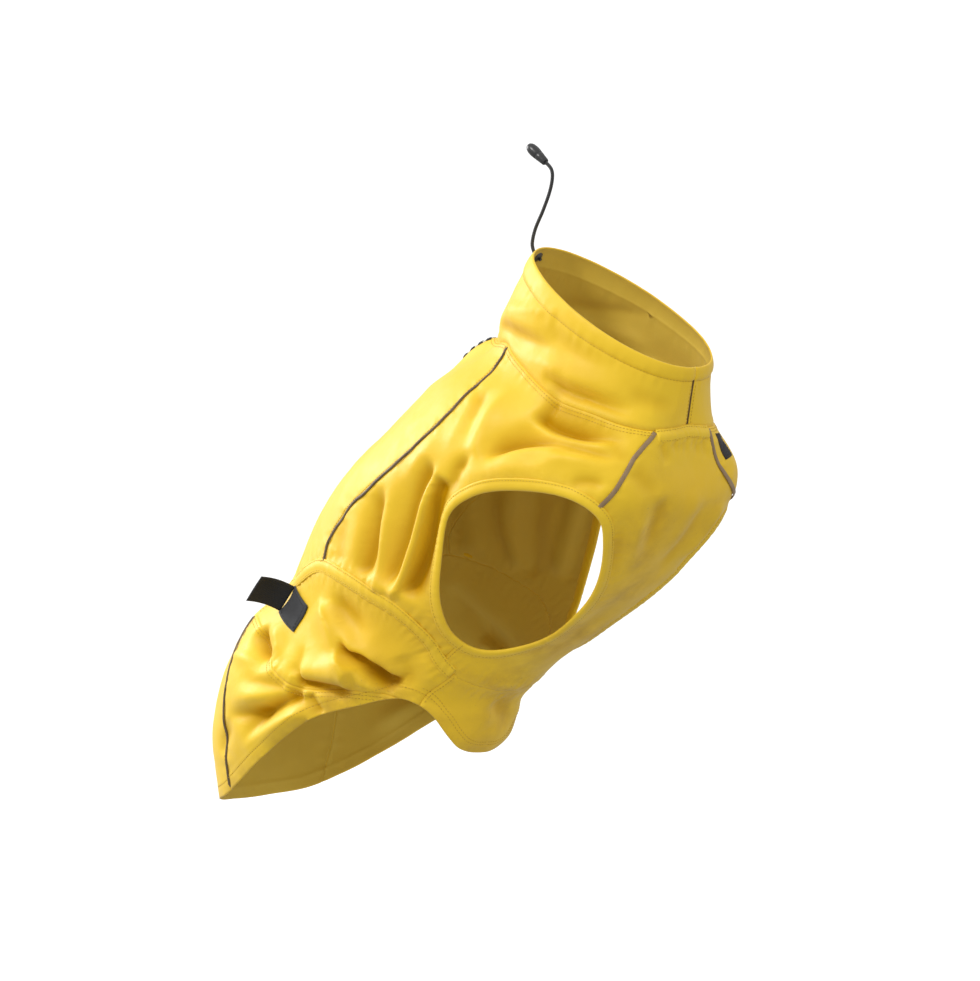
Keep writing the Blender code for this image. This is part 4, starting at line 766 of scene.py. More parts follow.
def relaxed(points, faces, rounds):
    """The points drawn towards their neighbours, with the open edges kept."""
    head, tail = faces[:, (0, 1, 2)].ravel(), faces[:, (1, 2, 0)].ravel()
    count = len(points)
    open_edge = ~np.isin(head * count + tail, tail * count + head)
    loose = np.bincount(head, minlength=count) > 0
    loose[head[open_edge]] = loose[tail[open_edge]] = False
    near = np.maximum(np.bincount(head, minlength=count), 1)[:, None]
    for _ in range(rounds):
        mean = np.stack([np.bincount(head, points[tail, i], count) for i in range(3)], 1) / near
        points = np.where(loose[:, None], (points + mean) / 2, points)
    return points


def edge_loops(faces):
    """Closed loops of the boundary edges of triangles, in face order."""
    seen = {edge for a, b, c in faces for edge in ((a, b), (b, c), (c, a))}
    ahead = {}
    for a, b in seen:
        if (b, a) not in seen:
            ahead.setdefault(a, []).append(b)
    loops = []
    while any(ahead.values()):
        loop = [min(k for k, after in ahead.items() if after)]
        while len(loop) == 1 or loop[-1] != loop[0]:
            loop.append(ahead[loop[-1]].pop())
        loops.append(loop[:-1])
    return loops


def quads(rows, cols, turn_rows=False, turn_cols=False):
    """Corners of the quads between the points of a grid; a turn closes it."""
    return [(r * cols + c, r * cols + (c + 1) % cols,
             (r + 1) % rows * cols + (c + 1) % cols, (r + 1) % rows * cols + c)
            for r in range(rows if turn_rows else rows - 1)
            for c in range(cols if turn_cols else cols - 1)]


def tube(rows, cols, turn=False):
    """Faces of a tube of closed rows, capped unless its rows close too."""
    caps = [] if turn else [tuple(range(cols))[::-1], tuple(range((rows - 1) * cols, rows * cols))]
    return quads(rows, cols, turn, True) + caps


def halved(faces):
    """Two triangles for each quad."""
    quad = np.array([f for f in faces if len(f) == 4])
    return np.concatenate([quad[:, :3], quad[:, (0, 2, 3)]])


def add_mesh(name, points, faces, materials, slots=None, marks=None):
    """A smooth mesh object; slots gives each face its material and marks adds
    numbers that the materials read at the points."""
    mesh = bpy.data.meshes.new(name)
    mesh.from_pydata([tuple(p) for p in np.asarray(points) * MM], [],
                     [tuple(int(i) for i in f) for f in faces])
    for mat in materials:
        mesh.materials.append(mat)
    if slots is not None:
        mesh.polygons.foreach_set("material_index", np.asarray(slots, np.int32))
    for key, values in (marks or {}).items():
        mesh.attributes.new(key, "FLOAT", "POINT").data.foreach_set(
            "value", np.asarray(values, np.float32))
    mesh.shade_smooth()
    mesh.update()
    obj = bpy.data.objects.new(name, mesh)
    bpy.context.scene.collection.objects.link(obj)
    return obj


COVER_POINTS, COVER_FACES = [], []      # the outer side of all cloth, to lay stitches on


def cover(points, tri):
    COVER_FACES.extend((tri + sum(map(len, COVER_POINTS))).tolist())
    COVER_POINTS.append(points)


def shell(name, points, ups, faces, thick, inset, materials, marks):
    """A thin closed cloth on the given faces, with a rounded rim."""
    used = np.unique(faces)
    at = np.zeros(len(points), int)
    at[used] = np.arange(len(used))
    p, n, th = points[used], ups[used], thick[used][:, None]
    tri = at[faces]
    a, b, c = p[tri[0]]
    if np.dot(np.cross(b - a, c - a), n[tri[0, 0]]) < 0:
        tri = tri[:, ::-1]
    loops = edge_loops(tri.tolist())
    inner, rim = p.copy(), []
    for loop in loops:
        here = p[loop]
        in_a = unit(np.cross(n[loop], here - np.roll(here, 1, 0)))
        in_b = unit(np.cross(n[loop], np.roll(here, -1, 0) - here))
        mitre = (in_a + in_b) / np.maximum(1 + (in_a * in_b).sum(1), MITRE_LEAST)[:, None]
        inner[loop] += mitre * inset
        rim.append(here + mitre * (inset - RIM_ROUND * th[loop]))
    count = len(p)
    top = inner + n * th / 2
    out = [tuple(f) for f in tri] + [tuple(f[::-1] + count) for f in tri]
    slots = [0] * len(tri) + [1] * len(tri)
    first = 2 * count
    for loop in loops:
        for k, (i, j) in enumerate(zip(loop, loop[1:] + loop[:1])):
            m, q = first + k, first + (k + 1) % len(loop)
            out += [(j, i, m, q), (q, m, i + count, j + count)]
        slots += [0] * (2 * len(loop))
        first += len(loop)
    rows = np.concatenate([np.arange(count), np.arange(count), *loops])
    cover(top, tri)
    return add_mesh(name, np.concatenate([top, inner - n * th / 2] + rim), out, materials, slots,
                    marks={k: v[used][rows] for k, v in marks.items()})


def strap(name, line, profile, material, looped=False, gather=0.0, size=9.0, lead=0.0,
          surface=(body_base, skin)):
    """A band laid along a line on the coat, its section given by rows of
    (across, height) going once round; gather ripples its top."""
    base, skin_of = surface
    if looped:
        line = np.concatenate([line[-3:], line, line[:3]])
    run = run_along(body_base(*line.T))
    rings = []
    for u, h in profile:
        moved = offset_line(line, u, base).T
        lift = h + gather * wave(run + lead * u, size) * (h > 0.6)
        if not looped:
            lift = lift * np.clip(np.minimum(run, run[-1] - run) / END_OVER + END_LOW, 0, 1)
        rings.append(skin_of(*moved) + skin_normals(skin_of, *moved) * lift[:, None])
    grid = np.stack(rings, 1)
    if looped:
        grid, run = grid[3:-3], run[3:-3]
    faces = tube(*grid.shape[:2], looped)
    verts = grid.reshape(-1, 3)
    tri = halved(faces)
    a, b, c = (verts[tri[:, i]] for i in range(3))
    if (np.cross(a, b) * c).sum() < 0:
        faces = [f[::-1] for f in faces]
        tri = tri[:, ::-1]
    cover(verts, tri)
    return add_mesh(name, verts, faces, (material,),
                    marks={"grime": stain(verts), "run": np.repeat(run, len(profile))})


def smooth_ring(line, far):
    """A closed line with its corners rounded over far mm."""
    line = resample(closed(line), STRAP_STEP)[:-1]
    spread = int(far / STRAP_STEP)
    weights = np.hanning(2 * spread + 3)[1:-1]
    weights /= weights.sum()
    return sum(w * np.roll(line, k - spread, 0) for k, w in enumerate(weights))


def laid_patch(name, rows, low, high, material, crown):
    """A four-sided piece laid on the body between its corners (t, v)."""
    c = np.asarray(rows, float)
    long = np.linalg.norm((c[3] - c[0]) * SCALE), np.linalg.norm((c[1] - c[0]) * SCALE)
    us, ws = (np.linspace(0, 1, max(6, int(x / PATCH_STEP)) + 1) for x in long)
    u, w = (g.ravel() for g in np.meshgrid(us, ws, indexing="ij"))
    place = (c[0] * ((1 - u) * (1 - w))[:, None] + c[1] * ((1 - u) * w)[:, None]
             + c[2] * (u * w)[:, None] + c[3] * (u * (1 - w))[:, None])
    p, n = skin(*place.T), skin_normals(skin, *place.T)
    edge = np.minimum(np.minimum(u, 1 - u) * long[0], np.minimum(w, 1 - w) * long[1])
    top = high + crown * (1 - np.exp(-edge / 2.5)) - 0.3 * np.exp(-edge / 0.6)
    return shell(name, p + n * ((low + top) / 2)[:, None], n, halved(quads(len(us), len(ws))),
                 top - low, 0.0, (material, material), {"grime": stain(p)})


# ---- dirt ----

# Stains: place (t, v), reach in mm, strength.
STAINS = (
    (163, 0.25, 26, 0.5), (168, 0.32, 26, 0.5), (156, 0.29, 20, 0.32), (-172, 0.28, 24, 0.34),
    (150, 0.24, 14, 0.25), (175, 0.4, 34, 0.5), (178, 0.52, 40, 0.6), (172, 0.64, 36, 0.6),
    (-176, 0.76, 34, 0.45), (160, 0.12, 16, 0.22), (-160, 0.24, 22, 0.32), (120, 0.69, 22, 0.5),
    (108, 0.745, 18, 0.55), (-118, 0.69, 22, 0.45), (98, 0.43, 14, 0.35), (170, -0.005, 16, 0.25),
)


def stain(points):
    """How dirty the cloth is, from 0 to 1."""
    dirt = np.zeros(len(points))
    for t, v, reach, much in STAINS:
        at = body_base(np.array([t]), np.array([v]))[0]
        dirt = np.maximum(dirt, much * np.exp(-((points - at) ** 2).sum(1) / reach ** 2))
    return dirt


# ---- materials ----

def put(tree, socket, value):
    """Sets a socket to a value, or links it to an output."""
    if isinstance(value, bpy.types.NodeSocket):
        tree.links.new(value, socket)
    elif socket.type == "RGBA":
        socket.default_value = (*value, 1.0)
    else:
        socket.default_value = value


def node(tree, kind, **values):
    made = tree.nodes.new(kind)
    for key, value in values.items():
        if key.startswith("_"):
            setattr(made, key[1:], value)
        else:
            put(tree, made.inputs[key.replace("_", " ")], value)
    return made


def new_material(name, **sockets):
    mat = bpy.data.materials.new(name)
    mat.use_nodes = True
    tree = mat.node_tree
    shader = tree.nodes["Principled BSDF"]
    for key, value in sockets.items():
        put(tree, shader.inputs[key.replace("_", " ")], value)
    return mat, tree, shader, tree.nodes.new("ShaderNodeTexCoord").outputs["Object"]


def noise_of(tree, place, scale, detail=3.0, rough=0.55):
    return node(tree, "ShaderNodeTexNoise", Vector=place, Scale=scale, Detail=detail,
                Roughness=rough).outputs["Fac"]


def ramp(tree, value, low, high, low_to=0.0, high_to=1.0):
    return node(tree, "ShaderNodeMapRange", Value=value, From_Min=low, From_Max=high,
                To_Min=low_to, To_Max=high_to).outputs["Result"]


def blend(tree, share, first, second):
    """Mix of two colours, each a colour or an output."""
    made = node(tree, "ShaderNodeMix", _data_type="RGBA")
    for i, value in ((0, share), (6, first), (7, second)):
        put(tree, made.inputs[i], value)
    return made.outputs[2]


def times(tree, first, second, kind="MULTIPLY"):
    made = node(tree, "ShaderNodeMath", _operation=kind)
    for socket, value in zip(made.inputs, (first, second)):
        put(tree, socket, value)
    return made.outputs[0]


def mark(tree, name):
    return node(tree, "ShaderNodeAttribute", _attribute_name=name).outputs["Fac"]


def bump(tree, shader, layers):
    """Bump from several (height output, distance in mm, strength) layers."""
    last = {}
    for height, far, strength in layers:
        made = node(tree, "ShaderNodeBump", Strength=strength, Distance=far * MM, Height=height,
                    **last)
        last = {"Normal": made.outputs["Normal"]}
    put(tree, shader.inputs["Normal"], last["Normal"])


def weave(tree, place, size):
    """Height of a plain weave whose threads are size mm apart."""
    waves = []
    for turn in ((0.0, 0.0, 0.6), (0.5, 0.9, 0.0)):
        moved = node(tree, "ShaderNodeMapping", Rotation=turn, Vector=place).outputs["Vector"]
        made = node(tree, "ShaderNodeTexWave", Scale=math.pi / (10 * size * MM), Distortion=0.6,
                    Detail_Scale=2.0, _bands_direction="X", Vector=moved)
        waves.append(made.outputs["Fac"])
    return times(tree, *waves)


FOLD_SHADE = (0.60, 0.49, 0.20)      # painted shade deep in a fold, where less light gets in


def coated_cloth(name, light, dark, rough, dirty=1.0):
    """Coated rain cloth: a satin film over a fine weave, with soft handling
    marks, painted shade along its folds and brown stains where it was splashed."""
    mat, tree, shader, place = new_material(name, Roughness=rough)
    broad = ramp(tree, noise_of(tree, place, 9.0, 2.0), 0.3, 0.7)
    colour = blend(tree, broad, light, dark)
    # painted shade deep in the creases, read from the fold mark
    colour = blend(tree, mark(tree, "fold"), colour, tuple(c * d for c, d in zip(dark, FOLD_SHADE)))
    dirt = times(tree, mark(tree, "grime"), ramp(tree, noise_of(tree, place, 42.0, 5.0, 0.62),
                                                 0.36, 0.66))
    dirt = times(tree, dirt, dirty)
    colour = blend(tree, dirt, colour, (0.46, 0.25, 0.025))
    specks = ramp(tree, noise_of(tree, place, 520.0, 1.0), 0.70, 0.76)
    specks = times(tree, times(tree, specks, mark(tree, "grime")), 0.55)
    colour = blend(tree, specks, colour, (0.14, 0.085, 0.035))
    tree.links.new(colour, shader.inputs["Base Color"])
    gloss = ramp(tree, noise_of(tree, place, 60.0, 4.0), 0.3, 0.7, rough - 0.05, rough + 0.06)
    gloss = times(tree, gloss, times(tree, dirt, 0.25), "ADD")
    tree.links.new(gloss, shader.inputs["Roughness"])
    # less gloss and sheen deep in the creases, under their painted shade
    for socket, high, low in (("Specular IOR Level", 0.44, 0.05), ("Sheen Weight", 0.12, 0.0)):
        tree.links.new(ramp(tree, mark(tree, "fold"), 0.0, 1.0, high, low), shader.inputs[socket])
    bump(tree, shader, ((noise_of(tree, place, 34.0, 3.0), 2.4, 0.28),
                        (noise_of(tree, place, 150.0, 4.0, 0.6), 0.35, 0.35),
                        (weave(tree, place, 0.42), 0.05, 0.35)))
    return mat


YELLOW, GOLD = (0.87, 0.572, 0.009), (0.82, 0.508, 0.006)
CLOTH_MAT = coated_cloth("coated_cloth", YELLOW, GOLD, 0.50)
INNER_MAT = coated_cloth("coated_cloth_inside", (0.74, 0.53, 0.07), (0.66, 0.46, 0.05), 0.72, 0.4)
CASING_MAT = coated_cloth("casing_cloth", (0.88, 0.590, 0.014), (0.82, 0.520, 0.008), 0.50)


def woven(name, light, dark, rough, size, depth, patches=30.0, **sockets):
    """Woven tape, braid or thread with its own rib and soft wear."""
    mat, tree, shader, place = new_material(name, Roughness=rough, **sockets)
    rib = weave(tree, place, size)
    colour = blend(tree, ramp(tree, noise_of(tree, place, patches, 3.0), 0.3, 0.7), light, dark)
    colour = blend(tree, ramp(tree, rib, 0.0, 0.4, 0.45, 0.0), colour, dark)
    tree.links.new(colour, shader.inputs["Base Color"])
    bump(tree, shader, ((noise_of(tree, place, 400.0, 2.0), 0.15, 0.4), (rib, depth, 0.8)))
    return mat


PIPING_MAT = woven("reflective_piping", (0.22, 0.155, 0.08), (0.085, 0.06, 0.035), 0.5, 0.45, 0.12,
                   60.0, Metallic=0.15)
TAPE_MAT = woven("reflective_tape", (0.40, 0.27, 0.14), (0.25, 0.16, 0.08), 0.38, 0.5, 0.06, 80.0,
                 Metallic=0.2)
HOOK_MAT = woven("hook_tape", (0.012, 0.012, 0.013), (0.004, 0.004, 0.0045), 0.62, 0.9, 0.45)
LOOP_MAT = woven("loop_tape", (0.040, 0.041, 0.045), (0.022, 0.0225, 0.025), 0.85, 0.7, 0.3, 50.0,
                 Sheen_Weight=0.12, Sheen_Roughness=0.5)
BINDING_MAT = woven("dark_binding", (0.035, 0.036, 0.038), (0.012, 0.012, 0.013), 0.7, 0.5, 0.2)
LABEL_MAT = woven("plain_label", (0.030, 0.026, 0.028), (0.012, 0.010, 0.011), 0.6, 0.35, 0.12)
CORD_MAT = woven("elastic_cord", (0.028, 0.028, 0.030), (0.007, 0.007, 0.008), 0.6, 0.8, 0.35,
                 Sheen_Weight=0.3)
THREAD_MAT = woven("yellow_thread", (0.72, 0.47, 0.03), (0.50, 0.30, 0.015), 0.6, 0.3, 0.08)
PALE_MAT = woven("pale_binding", (0.62, 0.60, 0.48), (0.45, 0.43, 0.33), 0.45, 0.5, 0.1)
# Dark brown for the label's stitches, and for the strip on the collar's front seam, where it is
# partly painted shade.
SLIT_MAT = woven("slit_edge", (0.16, 0.075, 0.02), (0.08, 0.04, 0.012), 0.7, 0.4, 0.1)


def moulded(name, colour, rough):
    mat, tree, shader, place = new_material(name, Coat_Weight=0.15, Coat_Roughness=0.25)
    grain = noise_of(tree, place, 900.0, 2.0)
    tone = ramp(tree, noise_of(tree, place, 160.0, 2.0), 0.3, 0.7)
    tree.links.new(blend(tree, tone, colour, tuple(c * 1.5 + 0.004 for c in colour)),
                   shader.inputs["Base Color"])
    tree.links.new(ramp(tree, grain, 0.3, 0.7, rough - 0.06, rough + 0.08),
                   shader.inputs["Roughness"])
    bump(tree, shader, ((grain, 0.05, 0.3),))
    return mat


BELL_MAT = moulded("cord_end_plastic", (0.012, 0.012, 0.013), 0.32)
EYELET_MAT = moulded("eyelet_plastic", (0.05, 0.05, 0.052), 0.35)
CLOTH_PAIR = (CLOTH_MAT, INNER_MAT)


# ---- the coat's panels ----

def oval(grow, count=40):
    """The rounded opening in the middle of the back, grown by some mm."""
    ang = np.linspace(0, 2 * math.pi, count + 1)[:-1]
    x = (SLOT_WIDTH / 2 + grow) * np.sign(np.sin(ang)) * np.abs(np.sin(ang)) ** 0.6
    y = (SLOT_LENGTH / 2 + grow) * np.sign(np.cos(ang)) * np.abs(np.cos(ang)) ** 0.8
    y += SLOT_TOP + SLOT_BINDING + SLOT_LENGTH / 2
    return np.stack([x / SLOT_DEG_MM, y / SLOT_LONG_MM], 1)


# Ripples of gathered cloth: lines, rise, length of a ripple, and the distance
# from the line at which it is strongest, with its reach, in mm.
GATHERS = (("seam", 0.42, 13.0, 6, 5), ("waist", 0.75, 8.5, 6, 11), ("arm", 0.35, 7.5, 10, 8),
           ("top", 0.60, 6.5, 11, 10), ("hip", 0.35, 6.0, 3, 6))
# Wear: lines, strength, distance where it is strongest, and reach.
WEAR = (("hem", 0.35, 0, 9), ("arm", 0.2, 8, 7), ("waist", 0.15, 6, 5))


def seam_points(points):
    """Lift, wall and wear of the cloth near its seams, hems and gathers."""
    hips = [lines["hip"] for lines in BOTH]
    near = {key: distance(tree_of(lines), points) for key, lines in (
        ("seam", SEAMS + [NECK]), ("hem", HEMS), ("waist", WAISTS),
        ("arm", [closed(ring) for ring in ARM_RINGS]), ("top", [CHEST_TOP]), ("hip", hips))}
    seam, hem, hip = (near[key][0] for key in ("seam", "hem", "hip"))
    lift = -GROOVE * dip(seam, 0, GROOVE_REACH)
    for key, rise, size, at, wide in GATHERS:
        far, run = near[key]
        ripple = rise * wave(run, size) * dip(far, at, wide)
        lift += ripple * np.clip((far - 4) / 3, 0, 1) if key == "waist" else ripple
    lift -= DENT * dip(hem, HEM_ROW, DENT_REACH) + 0.3 * dip(hip, HIP_ROWS[0], DENT_REACH)
    thick = SHELL + (HEM_SHELL - SHELL) * np.clip((HEM_TURN + 0.6 - hem) / 0.8, 0, 1)
    worn = sum(much * dip(near[key][0], at, wide) for key, much, at, wide in WEAR)
    return lift, thick, worn


def crest_line(row, scale):
    return resample(np.stack(row_curve(row, 40), 1), CREST_STEP, scale)


def roughness(base):
    """Broad and fine unevenness of the cloth: size and depth of each in mm."""
    return uneven(base, 34.0, 0.9), uneven(base, 13.0, 0.25)


def pushed_in(base, folds, points, t, a):
    """How far creases push the cloth in, from 0 to 1, for the painted shade in them."""
    deep = ((points - base(t, a)) * normals(base, t, a)).sum(1) - relief(base, folds, t, a)
    return np.clip((-deep - SHADE_FROM) / SHADE_OVER, 0, 1)


def build_body():
    """The whole body as one mesh, with the points of all seams in it."""
    edge_v = np.linspace(0, 1, int(LONG_MM / FINE))
    belly = np.stack([np.full(len(edge_v), 180.0), edge_v], 1)
    outline = np.concatenate([NECK[:-1], belly[:-1], HEMS[0][::-1][:-1], HEMS[1][:-1],
                              (belly * (-1, 1))[::-1][:-1]])
    cuts = [line for lines in BOTH for k, line in lines.items()
            if not k.startswith(("neck", "hem", "arm"))]
    rails = [offset_line(line, far) for line in SEAMS for far in (-1.2, 1.2)]
    rails += [toward(line, far, sign) for lines, sign, distances in (
        (HEMS, -1, (0.9, 8.6, 9.4, 10.3, 11.3)), ([NECK], 1, (1.2, 2.4)),
        ([lines["hip"] for lines in BOTH], 1, (2.4, 3.2, 4.0)))
              for line in lines for far in distances]
    crests = [crest_line(row, SCALE) for row in CREASES if row[9] < CRISP]
    beside = [offset_line(line, side * far) for far in CREST_SIDES for line in crests
              for side in (1, -1)]
    rails, beside = ([*rows, *(line - (360, 0) for line in rows if line[:, 0].max() > 180)]
                     for rows in (rails + crests, beside))
    kept = []
    for line in rails:
        ok = (np.abs(line[:, 0]) <= 179.6) & clear_of(line, outline, ARM_RINGS)
        ends = np.flatnonzero(np.diff(np.concatenate([[0], ok, [0]])))
        kept += [line[i:j] for i, j in zip(ends[::2], ends[1::2]) if j - i > 1]
    places, faces = triangulate(outline, ARM_RINGS + [oval(0)], cuts + kept, SCALE, beside)
    mids = places[faces].mean(1)
    left, right = (np.flatnonzero(np.abs(places[:, 0] - t) < 1e-3) for t in (-180, 180))
    swap = np.arange(len(places))
    for i in left:
        swap[i] = right[np.abs(places[right, 1] - places[i, 1]).argmin()]
    faces = swap[faces]
    t, v = places.T
    base, up = body_base(t, v), normals(body_base, t, v)
    lift, thick, worn = seam_points(base)
    broad, fine = roughness(base)
    points = relaxed(skin(t, v), faces, 3)
    # grime holds the stains and wear; fold holds where the painted crease shade goes
    marks = {"grime": np.clip(stain(base) + worn, 0, 1),
             "fold": pushed_in(body_base, FOLDS, points, t, v)}
    points += up * (lift + broad + fine)[:, None]
    ups = face_normals(points, faces)
    ups *= np.sign((ups * up).sum(1).mean())
    return points, ups, faces, thick, marks, mids


def build_collar(body_points, body_ups):
    """The collar's mesh, which shares the body's points along its seam."""
    low = NECK.copy()
    low[:, 1] = 0.0
    up = np.linspace(0, 1, int(COLLAR_MM / FINE) + 2)
    front = np.stack([np.full(len(up), 180.0), up], 1)
    top_t = np.linspace(180, -180, int(360 * COLLAR_DEG_MM / FINE) + 1)
    top = np.stack([top_t, np.ones(len(top_t))], 1)
    outline = np.concatenate([low[:-1], front[:-1], top[:-1], (front * (-1, 1))[::-1][:-1]])
    rails = [np.stack([np.linspace(-178, 178, 130), np.full(130, h)], 1)
             for h in (0.016, TUNNEL - 0.01, TUNNEL, TUNNEL + 0.01, 0.985)]
    rails += [crest_line(row, COLLAR_SCALE) for row in COLLAR_CREASES if row[9] < COLLAR_CRISP]
    ang = np.linspace(0, 2 * math.pi, 25)[:-1]
    eye = np.stack([EYELET_T + EYELET_HOLE / 2 * np.sin(ang) / EYELET_DEG_MM,
                    EYELET_H + EYELET_HOLE / 2 * np.cos(ang) / EYELET_LONG_MM], 1)
    places, faces = triangulate(outline, [eye], rails, COLLAR_SCALE)
    t, h = places.T
    base = collar_base(t, h)
    broad, fine = roughness(base)
    above = np.clip(h / 0.1, 0, 1)
    in_tunnel = np.clip((h - TUNNEL) / (1 - TUNNEL), 0, 1)
    lift = (-GROOVE * dip(h * SEAM_COLLAR_MM, 0, GROOVE_REACH)
            - DENT * dip(h * COLLAR_MM, TUNNEL * COLLAR_MM, DENT_REACH)
            - 1.0 * dip(np.abs(180 - np.abs(t)) * FRONT_DEG_MM, 0, 1.6)     # its seam in front
            + 0.5 * wave((t + 180) * COLLAR_DEG_MM, 9.0) * dip(h * COLLAR_MM, 0.78 * COLLAR_MM, 8)
            + 1.3 * np.clip(np.sin(in_tunnel * np.pi), 0, 1) ** 0.7         # the cord inside
            + (broad + fine) * above + broad * (1 - above))
    points = collar_skin(t, h)
    # grime holds the stains and a darker band along the seam; fold holds where the painted crease
    # shade goes
    marks = {"grime": np.clip(stain(base) + 0.3 * dip(h * SEAM_COLLAR_MM, 0, 4), 0, 1),
             "fold": pushed_in(collar_base, COLLAR_FOLDS, points, t, h) * above}
    points += skin_normals(collar_skin, t, h) * lift[:, None]
    ups = face_normals(points, faces)
    ups *= np.sign((ups * normals(collar_base, t, np.clip(h, 0, 1))).sum(1).mean())
    tree = kd_tree(body_points)
    for i in np.flatnonzero(h < 1e-4):
        at = tree.find(points[i])[1]
        points[i] = body_points[at]
        ups[i] = body_ups[at] = unit(ups[i] + body_ups[at])
    thick = SHELL + (HEM_SHELL - SHELL) * np.clip((h - TUNNEL) / 0.02, 0, 1)
    return points, ups, faces, thick, marks


def cloth(name, points, ups, faces, thick, marks):
    return shell(name + "_cloth", points, ups, faces, thick, SEAM_GAP / 2, CLOTH_PAIR, marks)


points, ups, faces, thick, marks, mids = build_body()
collar_mesh = build_collar(points, ups)
PIECES = {name: cloth(name, points, ups,
                      faces[inside(mids, outline) | inside(mids + (360, 0), outline)], thick, marks)
          for name, outline in PANELS.items()}
PIECES["collar"] = cloth("collar", *collar_mesh)

# ---- bands, trims and the things laid on the coat ----

# Sections of what is laid on: rows of (across, height), once round.
CASING = ((-6.2, 0.2), (-6.1, 0.75), (-5.2, 1.15), (-4.4, 0.95), (-2.6, 1.75), (0.0, 2.0),
          (2.6, 1.75), (4.4, 0.95), (5.2, 1.15), (6.1, 0.75), (6.2, 0.2), (0.0, 0.1))
CHEST_CASING = ((-5.6, 0.2), (-5.5, 0.8), (-4.6, 1.1), (-3.9, 0.9), (-2.0, 1.75), (0.5, 2.0),
                (3.0, 1.7), (4.4, 0.9), (5.0, 1.1), (5.5, 0.7), (5.6, 0.2), (0.0, 0.1))
ARM_CASING = ((10.0, 0.15), (9.9, 0.75), (8.9, 1.0), (8.0, 0.85), (6.0, 1.75), (3.0, 2.2),
              (0.6, 1.7), (-0.7, 0.4), (-0.5, -0.8), (1.4, -1.5), (5.0, -1.2), (9.0, -0.55))
PIPING = ((-1.5, 0.3), (-1.4, 0.7), (-0.95, 1.05), (-0.65, 0.95), (-0.2, 1.45), (0.5, 1.55),
          (1.05, 1.2), (1.4, 0.6), (1.45, 0.2), (0.0, 0.1))
SLOT_SECTION = ((-1.8, 0.1), (-1.7, 0.7), (-0.8, 1.15), (0.8, 1.15), (1.7, 0.7), (1.8, 0.1),
                (1.4, -0.6), (-1.4, -0.6))
BAR_SECTION = ((-2.1, 0.4), (-1.9, 1.15), (-0.8, 1.75), (0.8, 1.75), (1.9, 1.15), (2.1, 0.4))
SLIT_SECTION = ((0.8, -0.3), (0.7, 0.35), (-0.7, 0.35), (-0.8, -0.3))
TAPE = ((-1.95, 0.3), (-1.9, 0.85), (-1.65, 1.02), (0.0, 1.12), (1.65, 1.02), (1.9, 0.85),
        (1.95, 0.3), (0.0, 0.2))


def trimmed(line, cut):
    """A smooth dense line, cut mm short at both ends."""
    fine = resample(line, 0.5)
    skip = int(cut / 0.5)
    line = resample(fine[skip:len(fine) - skip], STRAP_STEP)
    for _ in range(6):
        line[1:-1] = (line[:-2] + 2 * line[1:-1] + line[2:]) / 4
    return line


def swayed(line, far, size):
    """The line swaying to both sides, as sewn trim does."""
    return offset_line(line, far * wave(run_along(line * SCALE), size))


ARM_LINES = [outward(smooth_ring(ring, ARM_ROUND)) for ring in ARM_RINGS]
WAIST_LINES = [downward(trimmed(joined((lines, "waist_1 waist_2 waist_3")), CASING_END))
               for lines in BOTH]
for side, lines, arm, waist in zip(SIDES, BOTH, ARM_LINES, WAIST_LINES):
    PIECES["armhole_band_" + side] = strap("armhole_binding_" + side, arm, ARM_CASING, CASING_MAT,
                                           looped=True, gather=0.22, size=6.5)
    PIECES["waist_casing_" + side] = strap("waist_elastic_casing_" + side, waist, CASING,
                                           CASING_MAT, gather=0.32, size=8.0, lead=0.35)
    for part, key, profile, mat, sway in (("back_piping_", "back", PIPING, PIPING_MAT, 0.6),
                                           ("chest_tape_", "chest", TAPE, TAPE_MAT, 0.12),
                                           ("rump_piping_", "rump", PIPING, PIPING_MAT, 0.5)):
        line = swayed(trimmed(lines[key], TRIM_END), sway, SWAY_LENGTH)
        PIECES[part + side] = strap(part + side + "_trim", line, profile, mat)
top_line = downward(trimmed(CHEST_TOP + (0, (CHEST_TOP_DROP + CHEST_BAND / 2) / LONG_MM), 1.0))
PIECES["chest_top_casing"] = strap("chest_top_elastic_casing", top_line, CHEST_CASING, CASING_MAT,
                                   gather=0.42, size=4.6, lead=0.3)
PIECES["tab_loop_patch"] = laid_patch("waist_tab_loop_patch", TAB_PATCH, 0.5, 1.9, LOOP_MAT, 0.3)
PIECES["label_plain"] = laid_patch("plain_side_label", LABEL, 0.45, 1.0, LABEL_MAT, 0.15)
PIECES["slot_binding"] = strap("leash_slot_binding", outward(oval(SLOT_BINDING / 2, 90)),
                               SLOT_SECTION, PALE_MAT, looped=True)


def slot_bars():
    """Four dark bar tacks over the binding on each side of the leash slot."""
    verts, faces = [], []
    middle = SLOT_TOP + SLOT_BINDING + SLOT_LENGTH / 2
    low_ends = np.array([0.55, 0.9, 1, 1, 1, 0.9, 0.55])[:, None]
    for side in (-1, 1):
        for k in range(4):
            y = middle + (k - 1.5) * BAR_PITCH
            line = np.stack([np.full(7, side * (SLOT_WIDTH + SLOT_BINDING) / 2 / SLOT_DEG_MM),
                             (y + np.linspace(-BAR_HALF, BAR_HALF, 7)) / SLOT_LONG_MM], 1)
            moved = [(offset_line(line, u).T, h) for u, h in BAR_SECTION]
            rings = [skin(*m) + skin_normals(skin, *m) * (h * low_ends) for m, h in moved]
            faces += [tuple(len(verts) + i for i in f) for f in tube(7, len(rings))]
            verts += np.stack(rings, 1).reshape(-1, 3).tolist()
    return add_mesh("leash_slot_bar_tacks", verts, faces, (BINDING_MAT,))


BARS = slot_bars()
# A dark brown strip along the collar's front seam: the seam's own edge, with painted shade in it.
slit = np.stack([np.full(40, 179.9), np.linspace(0.02, 0.97, 40)], 1)
SLIT = strap("collar_front_seam_edge_shade", slit, SLIT_SECTION, SLIT_MAT,
             surface=(collar_base, collar_skin))


